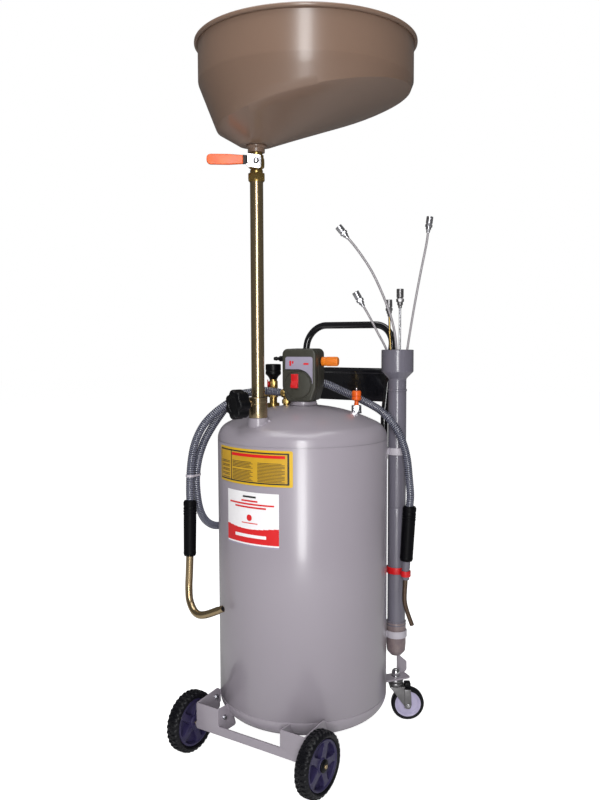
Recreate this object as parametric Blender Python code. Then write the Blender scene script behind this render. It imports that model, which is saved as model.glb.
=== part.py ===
"""Mobile waste-oil drainer: a wheeled pressure tank with a height-adjustable drain pan on a
tube, an air-driven suction head, suction probes in a holder, and two hose wands.

Everything is laid out around the tank's vertical axis with the floor at z = 0. The empty
`frame` then carries it to the part's own frame, whose origin is the middle of the footprint.
"""

import math

import bmesh
import bpy
from mathutils import Matrix, Vector

GAP = 0.0003

FRAME_X = -0.04432
FRAME_Y = 0.02484

# Tank: torispherical heads (crown radius = diameter, knuckle radius = a tenth of it)
TANK_R = 0.200
TANK_WALL = 0.0025
SEAM_LOW = 0.124
SEAM_TOP = 0.734
CROWN_R = 2 * TANK_R
KNUCKLE_R = 0.2 * TANK_R
HEAD_RISE = CROWN_R - math.sqrt((CROWN_R - KNUCKLE_R) ** 2 - (TANK_R - KNUCKLE_R) ** 2)

# Drain post
POST_X = -0.0145
POST_Y = -0.152
POST_R = 0.0145
POST_BORE_R = 0.0125
POST_BOTTOM = 0.490
POST_TOP = 1.3220
POST_YAW = math.radians(36.4)
SOCKET_R = 0.0235
SOCKET_TOP = 0.7915
SLEEVE_R = 0.0209
SLEEVE_BORE_R = 0.0175
SLEEVE_TOP = 0.8370
CLAMP_Z = 0.8230
CLAMP_YAW = math.radians(-20)
CLAMP_REACH = 0.058
KNOB_R = 0.0312
KNOB_LOBES = 7

# Ball valve under the pan
VALVE_Z = 1.3480
VALVE_BOTTOM = 1.3262
VALVE_TOP = 1.3702
NUT_BOTTOM = 1.3104
LEVER_REACH = 0.106

# Pan
PAN_OFFSET = 0.1083
PAN_R = 0.2323
PAN_RIM_R = 0.2400
PAN_RIM_Z = 1.6006
PAN_CREASE_Z = 1.5132
PAN_FLOOR_Z = 1.4540
PAN_FLOOR_SLOPE = 0.195
PAN_TAPER = 0.393
PAN_SUMP_R = 0.0375
PAN_SUMP_Z = 1.3854
PAN_SHEET = 0.0016
PAN_HOLE_R = 0.0130
PAN_SIDES = 48

# Suction head on top of the tank
HEAD_X = 0.0025
HEAD_Y = 0.0015
HEAD_YAW = math.radians(17)
HEAD_WIDTH = 0.082
HEAD_DEPTH = 0.073
HEAD_BOTTOM = 0.8205
HEAD_TOP = 0.9430
HEAD_SPLIT = -0.014
AIR_KNOB_Z = 0.9130
NIPPLE_Z = 0.9190
ROCKER_X = -0.0085
ROCKER_Z = 0.8685

# Gauge and outlet cock
GAUGE_X = -0.0920
GAUGE_Y = 0.0090
GAUGE_R = 0.0188
GAUGE_BOTTOM = 0.8745
GAUGE_TOP = 0.9050
COCK_Z = 0.8560

# Safety valve
SAFETY_X = 0.0945
SAFETY_Y = 0.0905

# Handle and tray
HANDLE_HALF = 0.1275
HANDLE_Y = 0.167
HANDLE_BAR_Y = 0.217
HANDLE_FOOT = 0.672
HANDLE_KINK = 0.780
HANDLE_BAR = 1.000
HANDLE_R = 0.0088
HANDLE_BEND = 0.054
TRAY_HALF = 0.112
TRAY_FRONT = 0.2030
TRAY_BACK = 0.2780
TRAY_BOTTOM = 0.8080
TRAY_TOP = 0.8890
TRAY_SHEET = 0.0015

# Probe holder
HOLDER_X = 0.1700
HOLDER_Y = 0.1545
PIPE_R = 0.0217
PIPE_BORE_R = 0.0190
CUP_R = 0.0383
CUP_TOP = 0.9390
CUP_BOTTOM = 0.8770
NECK_BOTTOM = 0.8400
PIPE_BOTTOM = 0.2620
CAP_TOP = 0.2790
CAP_BOTTOM = 0.1925
CAP_R = 0.0238
CLIPS = (("clip_upper", 0.6960, PIPE_R + GAP), ("clip_lower", 0.2480, CAP_R + GAP))
WAND_CLIP_Z = 0.4060

# Front axle
AXLE_Y = -0.2055
WHEEL_R = 0.071
WHEEL_X = 0.179
TYRE_WIDTH = 0.034
RIM_R = 0.0545
AXLE_R = 0.0055
AXLE_TUBE_R = 0.0085
AXLE_TUBE_END = 0.1575
PLATE_Y = -0.2140
PLATE_SHEET = 0.003
PLATE_IN = 0.087
PLATE_OUT = 0.153
PLATE_LOW = 0.064
PLATE_HIGH = 0.125
STRIP_HIGH = 0.084
WING_HIGH = 0.136
TANK_CLEAR = 0.0008

# Casters
CASTER_X = 0.1385
CASTER_Y = 0.2125
CASTER_R = 0.0415
CASTER_WIDTH = 0.024
CASTER_TRAIL = 0.030
CASTER_YAW = math.radians(35)
CROWN_Z = 0.0880
RACE_TOP = 0.1070
SHELF_Z = 0.1073
SHELF_SHEET = 0.004
SHELF_END = 0.0330
WING_NEAR = 0.0130
WING_END = 0.0410
WING_SHEET = 0.003

# Hoses: the outside radius, and each route by its own points from end to end
HOSE_R = 0.0095
DISCHARGE_ROUTE = (
    (-0.0520, -0.0150, 0.8380),
    (-0.0680, -0.0215, 0.8405),
    (-0.0880, -0.0430, 0.8430),
    (-0.1070, -0.0790, 0.8375),
    (-0.1240, -0.1180, 0.8190),
    (-0.1450, -0.1430, 0.7970),
    (-0.1660, -0.1570, 0.7720),
    (-0.1800, -0.1650, 0.7460),
    (-0.1890, -0.1710, 0.7180),
    (-0.1945, -0.1750, 0.6850),
    (-0.1965, -0.1780, 0.6500),
    (-0.1965, -0.1800, 0.6180),
    (-0.1962, -0.1802, 0.5900),
)
RETURN_ROUTE = (
    (-0.1260, 0.0000, 0.8330),
    (-0.1420, -0.0060, 0.8340),
    (-0.1555, -0.0200, 0.8340),
    (-0.1600, -0.0450, 0.8290),
    (-0.1560, -0.0790, 0.8150),
    (-0.1620, -0.1060, 0.7880),
    (-0.1720, -0.1260, 0.7590),
    (-0.1830, -0.1420, 0.7260),
    (-0.1930, -0.1510, 0.6870),
    (-0.1990, -0.1540, 0.6450),
    (-0.2010, -0.1510, 0.6050),
    (-0.2030, -0.1400, 0.5640),
    (-0.2070, -0.1180, 0.5330),
    (-0.2110, -0.0850, 0.5120),
    (-0.2150, -0.0480, 0.5030),
    (-0.2170, -0.0100, 0.5000),
    (-0.2160, 0.0250, 0.5000),
)
SUCTION_ROUTE = (
    (0.0080, 0.0545, 0.8626),
    (0.0237, 0.0689, 0.8570),
    (0.0368, 0.0811, 0.8495),
    (0.0508, 0.0933, 0.8407),
    (0.0713, 0.1076, 0.8293),
    (0.0980, 0.1171, 0.8162),
    (0.1191, 0.1196, 0.8069),
    (0.1407, 0.1200, 0.7964),
    (0.1566, 0.1189, 0.7858),
    (0.1699, 0.1185, 0.7742),
    (0.1899, 0.1215, 0.7473),
    (0.2029, 0.1262, 0.7149),
    (0.2099, 0.1311, 0.6795),
    (0.2131, 0.1346, 0.6383),
    (0.2153, 0.1379, 0.5969),
    (0.2141, 0.1371, 0.5690),
)

# Hand pieces at the ends of the hoses: routes of the grips and of the metal wands
LEFT_GRIP = ((-0.1962, -0.1802, 0.5897), (-0.1960, -0.1835, 0.4590))
RIGHT_GRIP = ((0.2141, 0.1371, 0.5687), (0.2080, 0.1330, 0.4370))
LEFT_WAND = (
    (-0.1960, -0.1836, 0.4587),
    (-0.1960, -0.1860, 0.4200),
    (-0.1955, -0.1890, 0.3820),
    (-0.1880, -0.1935, 0.3520),
    (-0.1640, -0.2010, 0.3320),
    (-0.1330, -0.2050, 0.3340),
    (-0.0870, -0.1950, 0.3540),
)
RIGHT_WAND = (
    (0.2080, 0.1330, 0.4367),
    (0.2065, 0.1320, 0.3900),
    (0.2050, 0.1310, 0.3500),
    (0.2065, 0.1320, 0.3300),
    (0.2115, 0.1360, 0.3080),
    (0.2200, 0.1420, 0.2790),
)

# Suction probes: (name, tube radius, fitting radius, fitting length, route from tip to lower end)
PROBE_FOOT = 0.600
PROBES = (
    ("probe_long_hooked", 0.0030, 0.0085, 0.030, (
        (0.0760, 0.0740, 1.2060), (0.0960, 0.0880, 1.1770), (0.1240, 0.1070, 1.1270),
        (0.1460, 0.1220, 1.0720), (0.1640, 0.1340, 1.0140), (0.1730, 0.1400, 0.9600),
        (0.1750, 0.1420, 0.9000), (0.1740, 0.1430, 0.8500), (0.1740, 0.1430, 0.8000),
    )),
    ("probe_long_leaning", 0.0028, 0.0080, 0.032, (
        (0.2280, 0.1960, 1.2210), (0.2250, 0.1935, 1.1900), (0.2130, 0.1850, 1.1150),
        (0.2020, 0.1770, 1.0400), (0.1930, 0.1700, 0.9700), (0.1865, 0.1650, 0.9150),
        (0.1812, 0.1592, 0.8650), (0.1806, 0.1578, 0.8100),
    )),
    ("probe_short_leaning", 0.0028, 0.0085, 0.034, (
        (0.0920, 0.1210, 1.0480), (0.1070, 0.1310, 1.0170), (0.1220, 0.1420, 0.9810),
        (0.1390, 0.1530, 0.9430), (0.1510, 0.1585, 0.9050), (0.1588, 0.1605, 0.8650),
        (0.1585, 0.1605, 0.8100),
    )),
    ("probe_short_brass", 0.0026, 0.0080, 0.034, (
        (0.1540, 0.1420, 1.0240), (0.1550, 0.1430, 0.9800), (0.1570, 0.1450, 0.9300),
        (0.1600, 0.1470, 0.8800), (0.1610, 0.1480, 0.8300),
    )),
    ("probe_short_steel", 0.0028, 0.0085, 0.040, (
        (0.1700, 0.1660, 1.0440), (0.1700, 0.1660, 0.9800), (0.1698, 0.1658, 0.9200),
        (0.1693, 0.1655, 0.8600), (0.1690, 0.1655, 0.8000),
    )),
)

GREY_PAINT = ("grey_paint", (0.36, 0.34, 0.35), 0.30, 0.0)
TAUPE_PAINT = ("taupe_paint", (0.22, 0.15, 0.11), 0.28, 0.1)
BLACK_PAINT = ("black_paint", (0.012, 0.012, 0.014), 0.25, 0.0)
BLACK_PLASTIC = ("black_plastic", (0.015, 0.015, 0.015), 0.45, 0.0)
OLIVE_PLASTIC = ("olive_plastic", (0.045, 0.043, 0.032), 0.45, 0.0)
GREY_PVC = ("grey_pvc", (0.17, 0.17, 0.19), 0.40, 0.0)
WHITE_PLASTIC = ("white_plastic", (0.65, 0.62, 0.66), 0.45, 0.0)
CAP_PLASTIC = ("cap_plastic", (0.34, 0.29, 0.28), 0.35, 0.0)
RED_PLASTIC = ("red_plastic", (0.75, 0.03, 0.03), 0.40, 0.0)
ORANGE_PLASTIC = ("orange_plastic", (0.95, 0.24, 0.02), 0.40, 0.0)
YELLOW_ZINC = ("yellow_zinc", (0.50, 0.38, 0.14), 0.28, 0.9)
ZINC = ("zinc", (0.60, 0.60, 0.62), 0.30, 0.9)
BRASS = ("brass", (0.60, 0.38, 0.13), 0.30, 0.9)
CHROME = ("chrome", (0.80, 0.80, 0.82), 0.12, 1.0)
RUBBER = ("rubber", (0.02, 0.02, 0.022), 0.75, 0.0)
PURPLE_PLASTIC = ("purple_plastic", (0.10, 0.09, 0.20), 0.40, 0.0)
LILAC_PLASTIC = ("lilac_plastic", (0.55, 0.52, 0.68), 0.40, 0.0)
HOSE_PVC = ("hose_pvc", (0.30, 0.32, 0.38), 0.30, 0.0)


def clear_scene():
    for obj in list(bpy.data.objects):
        bpy.data.objects.remove(obj)


def material(spec):
    name, colour, roughness, metallic = spec
    found = bpy.data.materials.get(name)
    if found:
        return found
    made = bpy.data.materials.new(name)
    made.use_nodes = True
    shader = made.node_tree.nodes["Principled BSDF"]
    shader.inputs["Base Color"].default_value = (*colour, 1.0)
    shader.inputs["Roughness"].default_value = roughness
    shader.inputs["Metallic"].default_value = metallic
    return made


def add(name, data, finish, location=(0, 0, 0), rotation=(0, 0, 0)):
    """Put a mesh or curve into the scene as a named sub-part, carried by the frame."""
    obj = bpy.data.objects.new(name, data)
    obj.location = location
    obj.rotation_euler = rotation
    obj.parent = bpy.data.objects["frame"]
    data.materials.append(material(finish))
    bpy.context.scene.collection.objects.link(obj)
    return obj


def finish_mesh(bm, name, smooth=True):
    bmesh.ops.remove_doubles(bm, verts=bm.verts, dist=1e-6)
    bmesh.ops.recalc_face_normals(bm, faces=bm.faces)
    mesh = bpy.data.meshes.new(name)
    bm.to_mesh(mesh)
    bm.free()
    if smooth:
        mesh.shade_smooth()
        mesh.set_sharp_from_angle(angle=math.radians(35))
    return mesh


def turned(name, profile, sides, closed=True):
    """A mesh turned about Z from (radius, height) points; a closed profile makes a ring."""
    bm = bmesh.new()
    points = [bm.verts.new((radius, 0, height)) for radius, height in profile]
    pairs = list(zip(points, points[1:]))
    if closed:
        pairs.append((points[-1], points[0]))
    edges = [bm.edges.new(pair) for pair in pairs]
    bmesh.ops.spin(
        bm, geom=points + edges, cent=(0, 0, 0), axis=(0, 0, 1), angle=math.tau,
        steps=sides, use_merge=True,
    )
    return finish_mesh(bm, name)


def rod(radius, low, high):
    """The open profile of a solid round bar, from pole to pole."""
    return [(0, high), (radius, high), (radius, low), (0, low)]


def ring(bore, radius, low, high):
    return [(bore, high), (radius, high), (radius, low), (bore, low)]


def lofted(name, rings, poles=True):
    """A mesh through rings of equal length; with poles the end rings are capped."""
    bm = bmesh.new()
    loops = [[bm.verts.new(point) for point in points] for points in rings]
    pairs = list(zip(loops, loops[1:]))
    if not poles:
        pairs.append((loops[-1], loops[0]))
    for lower, upper in pairs:
        count = len(lower)
        for i in range(count):
            j = (i + 1) % count
            bm.faces.new((lower[i], lower[j], upper[j], upper[i]))
    if poles:
        bm.faces.new(loops[0])
        bm.faces.new(loops[-1])
    return finish_mesh(bm, name)


def extruded(name, outline, vector, bevel=0.0):
    """A prism from a closed outline of 3-D points; its long edges may be bevelled."""
    bm = bmesh.new()
    face = bm.faces.new([bm.verts.new(point) for point in outline])
    made = bmesh.ops.extrude_face_region(bm, geom=[face])
    verts = [item for item in made["geom"] if isinstance(item, bmesh.types.BMVert)]
    bmesh.ops.translate(bm, verts=verts, vec=vector)
    bmesh.ops.recalc_face_normals(bm, faces=bm.faces)
    if bevel:
        caps = [f for f in bm.faces if abs(f.normal.dot(Vector(vector).normalized())) > 0.99]
        edges = {edge for cap in caps for edge in cap.edges}
        bmesh.ops.bevel(bm, geom=list(edges), offset=bevel, segments=2, affect="EDGES", profile=0.5)
    return finish_mesh(bm, name)


def block(name, low, high, bevel=0.0):
    (x0, y0, z0), (x1, y1, z1) = low, high
    outline = [(x0, y0, z0), (x1, y0, z0), (x1, y1, z0), (x0, y1, z0)]
    return extruded(name, outline, (0, 0, z1 - z0), bevel)


def rounded_outline(corners, steps=4):
    """Points of a closed outline of (x, z, corner radius) corners, each turned by an arc."""
    outline = []
    count = len(corners)
    for i, (x, z, radius) in enumerate(corners):
        here = Vector((x, z))
        before = (Vector(corners[i - 1][:2]) - here).normalized()
        after = (Vector(corners[(i + 1) % count][:2]) - here).normalized()
        if radius == 0:
            outline.append(tuple(here))
            continue
        half = before.angle(after) / 2
        start = here + before * radius / math.tan(half)
        centre = here + (before + after).normalized() * radius / math.sin(half)
        sweep = math.pi - 2 * half
        arm = start - centre
        turn = 1 if before.x * after.y - before.y * after.x < 0 else -1
        for k in range(steps + 1):
            angle = turn * sweep * k / steps
            c, s = math.cos(angle), math.sin(angle)
            outline.append((centre.x + c * arm.x - s * arm.y, centre.y + s * arm.x + c * arm.y))
    return outline


def smooth_route(points, spacing):
    """Points about `spacing` apart on the smooth curve through the given ones."""
    knots = [Vector(point) for point in points]
    knots = [2 * knots[0] - knots[1]] + knots + [2 * knots[-1] - knots[-2]]
    route = [knots[1]]
    for a, b, c, d in zip(knots, knots[1:], knots[2:], knots[3:]):
        steps = max(1, round((c - b).length / spacing))
        for k in range(1, steps + 1):
            t = k / steps
            cubic = (3 * (b - c) + d - a) * t ** 3 + (2 * a - 5 * b + 4 * c - d) * t ** 2
            route.append(b + 0.5 * ((c - a) * t + cubic))
    return route


def tube(name, route, radius, finish, resolution=2):
    """A closed round bar along a route, as a bevelled poly curve with filled caps."""
    data = bpy.data.curves.new(name, "CURVE")
    data.dimensions = "3D"
    data.bevel_depth = radius
    data.bevel_resolution = resolution
    data.use_fill_caps = True
    spline = data.splines.new("POLY")
    spline.points.add(len(route) - 1)
    for point, place in zip(spline.points, route):
        point.co = (*place, 1.0)
    return add(name, data, finish)


def helper(mesh, location=(0, 0, 0), rotation=(0, 0, 0)):
    """A hidden solid that a Boolean uses."""
    obj = bpy.data.objects.new(mesh.name, mesh)
    obj.location = location
    obj.rotation_euler = rotation
    obj.parent = bpy.data.objects["frame"]
    obj.hide_render = True
    obj.display_type = "WIRE"
    bpy.context.scene.collection.objects.link(obj)
    return obj


def combine(obj, other, operation):
    modifier = obj.modifiers.new(f"{operation.lower()}_{other.name}", "BOOLEAN")
    modifier.operation = operation
    modifier.object = other


def circle(radius, z, sides, centre=(0, 0)):
    turns = [math.tau * k / sides for k in range(sides)]
    return [(centre[0] + radius * math.cos(a), centre[1] + radius * math.sin(a), z) for a in turns]


def head_profile(offset):
    """(radius, height over the seam) points of a dished head, moved inwards by `offset`."""
    knuckle = KNUCKLE_R - offset
    crown = CROWN_R - offset
    meeting = math.asin((TANK_R - KNUCKLE_R) / (CROWN_R - KNUCKLE_R))
    centre_z = HEAD_RISE - CROWN_R
    points = [(0.0, centre_z + crown)]
    for k in range(1, 5):
        angle = meeting * k / 4
        points.append((crown * math.sin(angle), centre_z + crown * math.cos(angle)))
    for k in range(1, 4):
        angle = meeting + (math.pi / 2 - meeting) * k / 3
        points.append((TANK_R - KNUCKLE_R + knuckle * math.sin(angle), knuckle * math.cos(angle)))
    return points


def dome_height(x, y):
    """Height of the top head's outside over the floor at a place on its crown."""
    return SEAM_TOP + HEAD_RISE - CROWN_R + math.sqrt(CROWN_R ** 2 - x * x - y * y)


def make_tank():
    shell = ring(TANK_R - TANK_WALL, TANK_R, SEAM_LOW + GAP, SEAM_TOP - GAP)
    add("tank_shell", turned("tank_shell", shell, 48), GREY_PAINT)
    outside = head_profile(0.0)
    inside = head_profile(TANK_WALL)
    profile = outside + inside[::-1]
    top = add("top_head", turned("top_head", profile, 48, closed=False), GREY_PAINT, (0, 0, SEAM_TOP))
    add("bottom_head", turned("bottom_head", profile, 48, closed=False), GREY_PAINT,
        (0, 0, SEAM_LOW), (math.pi, 0, 0))
    cutter = turned("socket_hole", rod(SOCKET_R + GAP, SEAM_TOP, SEAM_TOP + 0.1), 24, closed=False)
    combine(top, helper(cutter, (POST_X, POST_Y, 0)), "DIFFERENCE")


def make_guide():
    place = (POST_X, POST_Y, 0)
    socket = ring(POST_R + 0.002, SOCKET_R, 0.7600, SOCKET_TOP)
    add("drain_socket", turned("drain_socket", socket, 24), GREY_PAINT, place)
    sleeve_profile = ring(SLEEVE_BORE_R, SLEEVE_R, SOCKET_TOP + GAP, SLEEVE_TOP)
    sleeve = add("guide_sleeve", turned("guide_sleeve", sleeve_profile, 24), YELLOW_ZINC, place)
    bush = ring(POST_R + GAP, SLEEVE_BORE_R - GAP, SOCKET_TOP + 2 * GAP, SLEEVE_TOP)
    add("post_bush", turned("post_bush", bush, 24), BLACK_PLASTIC, place)
    hole = turned("screw_hole", rod(0.0040 + GAP, 0.012, 0.030), 16, closed=False)
    out = (math.pi / 2, 0, CLAMP_YAW)
    combine(sleeve, helper(hole, (POST_X, POST_Y, CLAMP_Z), out), "DIFFERENCE")


def make_star_knob():
    """Knob and clamp screw turn as one, about local Z, which points away from the post."""
    sides = KNOB_LOBES * 4

    def lobed(radius, height):
        points = []
        for k in range(sides):
            angle = math.tau * k / sides
            reach = radius * (1 + 0.085 * math.cos(KNOB_LOBES * angle))
            points.append((reach * math.cos(angle), reach * math.sin(angle), height))
        return points

    rings = [
        circle(0.0040, SLEEVE_BORE_R + GAP - CLAMP_REACH, sides),
        circle(0.0040, -0.0265, sides),
        circle(0.0105, -0.0265, sides),
        circle(0.0115, -0.0210, sides),
        lobed(KNOB_R * 0.88, -0.0210),
        lobed(KNOB_R, -0.0165),
        lobed(KNOB_R, 0.0040),
        lobed(KNOB_R * 0.90, 0.0085),
        circle(0.0140, 0.0095, sides),
    ]
    away = Vector((math.sin(CLAMP_YAW), -math.cos(CLAMP_YAW), 0))
    centre = Vector((POST_X, POST_Y, CLAMP_Z)) + CLAMP_REACH * away
    add("star_knob", lofted("star_knob", rings), BLACK_PLASTIC, centre, (math.pi / 2, 0, CLAMP_YAW))


def make_post():
    place = (POST_X, POST_Y, 0)
    turn = (0, 0, POST_YAW)
    post = ring(POST_BORE_R, POST_R, POST_BOTTOM, POST_TOP)
    add("drain_tube", turned("drain_tube", post, 24), YELLOW_ZINC, place)

    nut = [circle(0.0205, NUT_BOTTOM, 6), circle(0.0205, VALVE_BOTTOM - GAP, 6)]
    nut_obj = add("union_nut", lofted("union_nut", nut), BRASS, place, turn)
    bore = turned("union_bore", rod(POST_R + GAP, NUT_BOTTOM - 0.01, VALVE_BOTTOM + 0.01), 24, closed=False)
    combine(nut_obj, helper(bore, place), "DIFFERENCE")

    body = [
        (0.0085, VALVE_TOP), (0.0135, VALVE_TOP), (0.0135, 1.3625), (0.0172, 1.3590),
        (0.0172, 1.3370), (0.0142, 1.3330), (0.0142, VALVE_BOTTOM), (0.0085, VALVE_BOTTOM),
        (0.0085, 1.3380), (0.0122, 1.3400), (0.0122, 1.3560), (0.0085, 1.3580),
    ]
    body_obj = add("valve_body", turned("valve_body", body, 24), BRASS, place, turn)
    gland = turned("stem_gland", rod(0.0085, 0.0130, 0.0200), 20, closed=False)
    combine(body_obj, helper(gland, (POST_X, POST_Y, VALVE_Z), (math.pi / 2, 0, POST_YAW)), "UNION")
    hole = turned("stem_hole", rod(0.0040, 0.0100, 0.0300), 16, closed=False)
    combine(body_obj, helper(hole, (POST_X, POST_Y, VALVE_Z), (math.pi / 2, 0, POST_YAW)), "DIFFERENCE")

    socket = [
        (PAN_HOLE_R, PAN_SUMP_Z - GAP), (0.0228, PAN_SUMP_Z - GAP), (0.0228, 1.3820),
        (0.0185, 1.3800), (0.0185, VALVE_TOP + GAP), (PAN_HOLE_R, VALVE_TOP + GAP),
    ]
    add("pan_socket", turned("pan_socket", socket, 24), TAUPE_PAINT, place)


def make_valve_lever():
    """Ball, stem and lever turn about local Z, which points out of the valve's gland."""
    pivot = (POST_X, POST_Y, VALVE_Z)
    turn = (math.pi / 2, 0, POST_YAW)
    ball = [(0.0115 * math.sin(math.pi * k / 8), 0.0115 * math.cos(math.pi * k / 8)) for k in range(9)]
    profile = [(0, 0.0270), (0.0035, 0.0270), (0.0035, 0.0112)] + ball[2:-1] + [(0, -0.0115)]
    add("valve_ball", turned("valve_ball", profile, 20, closed=False), CHROME, pivot, turn)
    corners = [
        (-0.0190, -0.0120, 0.004), (0.0110, -0.0165, 0.004), (0.0130, 0.0130, 0.004), (-0.0190, 0.0155, 0.004),
        (-0.0310, 0.0110, 0.0), (-LEVER_REACH + 0.003, 0.0110, 0.0), (-LEVER_REACH + 0.003, -0.0060, 0.0),
        (-0.0310, -0.0060, 0.0),
    ]
    outline = [(x, z, 0.0274) for x, z in rounded_outline(corners, 2)]
    add("valve_lever", extruded("valve_lever", outline, (0, 0, 0.0022)), CHROME, pivot, turn)
    grip_corners = [
        (-0.0320, -0.0085, 0.005), (-0.0320, 0.0135, 0.005),
        (-LEVER_REACH, 0.0145, 0.008), (-LEVER_REACH, -0.0080, 0.008),
    ]
    grip_outline = [(x, z, 0.0242) for x, z in rounded_outline(grip_corners, 3)]
    grip_mesh = extruded("lever_grip", grip_outline, (0, 0, 0.0086), 0.002)
    grip = add("lever_grip", grip_mesh, ORANGE_PLASTIC, pivot, turn)
    slot = [(x, z, 0.0274 - GAP) for x, z in rounded_outline([
        (-0.0200, -0.0063, 0.0), (-0.0200, 0.0113, 0.0), (-LEVER_REACH + 0.0027, 0.0113, 0.0),
        (-LEVER_REACH + 0.0027, -0.0063, 0.0),
    ])]
    combine(grip, helper(extruded("grip_slot", slot, (0, 0, 0.0022 + 2 * GAP)), pivot, turn), "DIFFERENCE")


def make_pan():
    """The pan's own x axis runs from the drain to the middle of the rim."""
    turns = [math.tau * k / PAN_SIDES for k in range(PAN_SIDES)]

    def level(radius, z):
        return circle(radius, z, PAN_SIDES, (PAN_OFFSET, 0))

    def floor_edge(inset):
        points = []
        for angle in turns:
            slope = PAN_FLOOR_SLOPE * math.cos(angle)
            radius = (PAN_R - (PAN_CREASE_Z - PAN_FLOOR_Z) * PAN_TAPER) / (1 - slope * PAN_TAPER)
            height = PAN_FLOOR_Z + slope * radius
            reach = radius - inset
            points.append((PAN_OFFSET + reach * math.cos(angle), reach * math.sin(angle), height + inset))
        return points

    inner = PAN_R - PAN_SHEET
    rings = [
        level(inner, PAN_RIM_Z - 0.0020),
        level(PAN_R + 0.0010, PAN_RIM_Z),
        level(PAN_R + 0.0052, PAN_RIM_Z),
        level(PAN_RIM_R, PAN_RIM_Z - 0.0035),
        level(PAN_RIM_R, PAN_RIM_Z - 0.0070),
        level(PAN_R + 0.0040, PAN_RIM_Z - 0.0100),
        level(PAN_R, PAN_RIM_Z - 0.0090),
        level(PAN_R, PAN_CREASE_Z),
        floor_edge(0.0),
        circle(PAN_SUMP_R, PAN_SUMP_Z, PAN_SIDES),
        circle(PAN_HOLE_R, PAN_SUMP_Z, PAN_SIDES),
        circle(PAN_HOLE_R, PAN_SUMP_Z + PAN_SHEET, PAN_SIDES),
        circle(PAN_SUMP_R - PAN_SHEET, PAN_SUMP_Z + PAN_SHEET, PAN_SIDES),
        floor_edge(PAN_SHEET),
        level(inner, PAN_CREASE_Z + PAN_SHEET / 2),
    ]
    add("pan_bowl", lofted("pan_bowl", rings, poles=False), TAUPE_PAINT, (POST_X, POST_Y, 0), (0, 0, POST_YAW))


def head_place(x, y, z):
    """A place given in the suction head's own axes."""
    c, s = math.cos(HEAD_YAW), math.sin(HEAD_YAW)
    return (HEAD_X + c * x - s * y, HEAD_Y + s * x + c * y, z)


def make_suction_head():
    turn = (0, 0, HEAD_YAW)
    middle = head_place(0, 0, 0)
    crest = SEAM_TOP + HEAD_RISE + GAP
    socket = ring(0.0150, 0.0310, crest, HEAD_BOTTOM - 3 * GAP)
    add("head_socket", turned("head_socket", socket, 24), GREY_PAINT, middle)
    half = HEAD_WIDTH / 2
    low = HEAD_BOTTOM - GAP
    corners = [
        (-0.0300, low, 0.006), (-half, low + 0.034, 0.020), (-half, HEAD_TOP, 0.014),
        (half, HEAD_TOP, 0.014), (half, low + 0.034, 0.020), (0.0300, low, 0.006),
    ]
    outline = rounded_outline(corners)
    front_face = [(x, -HEAD_DEPTH / 2, z) for x, z in outline]
    cover_mesh = extruded("head_cover", front_face, (0, HEAD_SPLIT + HEAD_DEPTH / 2, 0), 0.004)
    cover = add("head_cover", cover_mesh, OLIVE_PLASTIC, middle, turn)
    back_face = [(x, HEAD_SPLIT + GAP, z) for x, z in outline]
    housing_mesh = extruded("head_housing", back_face, (0, HEAD_DEPTH / 2 - HEAD_SPLIT - GAP, 0), 0.004)
    housing = add("head_housing", housing_mesh, OLIVE_PLASTIC, middle, turn)

    pocket = block("rocker_pocket", (ROCKER_X - 0.0100, -0.05, ROCKER_Z - 0.0180),
                   (ROCKER_X + 0.0100, -0.0220, ROCKER_Z + 0.0180))
    combine(cover, helper(pocket, middle, turn), "DIFFERENCE")
    side = turned("knob_hole", rod(0.0045, -0.010, 0.030), 16, closed=False)
    side_aim = (0, math.pi / 2, HEAD_YAW)
    combine(housing, helper(side, head_place(half, 0.004, AIR_KNOB_Z), side_aim), "DIFFERENCE")
    outlet = turned("outlet_barb", rod(0.0068, -0.010, 0.0145), 20, closed=False)
    outlet_aim = (0, -math.pi / 2, HEAD_YAW)
    combine(housing, helper(outlet, head_place(-half, 0.0015, 0.838), outlet_aim), "UNION")
    inlet = turned("inlet_barb", rod(0.0068, -0.012, 0.0230), 20, closed=False)
    start = Vector(SUCTION_ROUTE[0])
    heading = (Vector(SUCTION_ROUTE[1]) - start).normalized()
    aim = heading.to_track_quat("Z", "Y").to_euler()
    combine(housing, helper(inlet, start - heading * (0.0230 + GAP), aim), "UNION")

    rocker = [
        (-0.0092, -0.0370, -0.0158), (-0.0092, -0.0405, -0.0158), (-0.0092, -0.0370, 0.0),
        (-0.0092, -0.0385, 0.0158), (-0.0092, -0.0300, 0.0158), (-0.0092, -0.0300, -0.0158),
    ]
    rocker = [(x, y + 0.0300, z) for x, y, z in rocker[1:]]
    add("rocker_switch", extruded("rocker_switch", rocker, (0.0184, 0, 0), 0.0010), RED_PLASTIC,
        head_place(ROCKER_X, -0.0300, ROCKER_Z), turn)

    knob = [
        (0, 0.0430), (0.0085, 0.0430), (0.0103, 0.0410), (0.0105, 0.0030), (0.0088, 0.0006),
        (0.0040, 0.0006), (0.0040, -0.0090), (0, -0.0090),
    ]
    add("air_knob", turned("air_knob", knob, 24, closed=False), ORANGE_PLASTIC,
        head_place(half, 0.004, AIR_KNOB_Z), (0, math.pi / 2, HEAD_YAW))
    nipple = [
        (0, 0.0325), (0.0042, 0.0325), (0.0042, 0.0290), (0.0052, 0.0270), (0.0042, 0.0240), (0.0042, 0.0180),
        (0.0068, 0.0170), (0.0068, GAP), (0, GAP),
    ]
    add("air_nipple", turned("air_nipple", nipple, 20, closed=False), BLACK_PLASTIC,
        head_place(-half, 0.0, NIPPLE_Z), (0, -math.pi / 2, HEAD_YAW))


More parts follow.
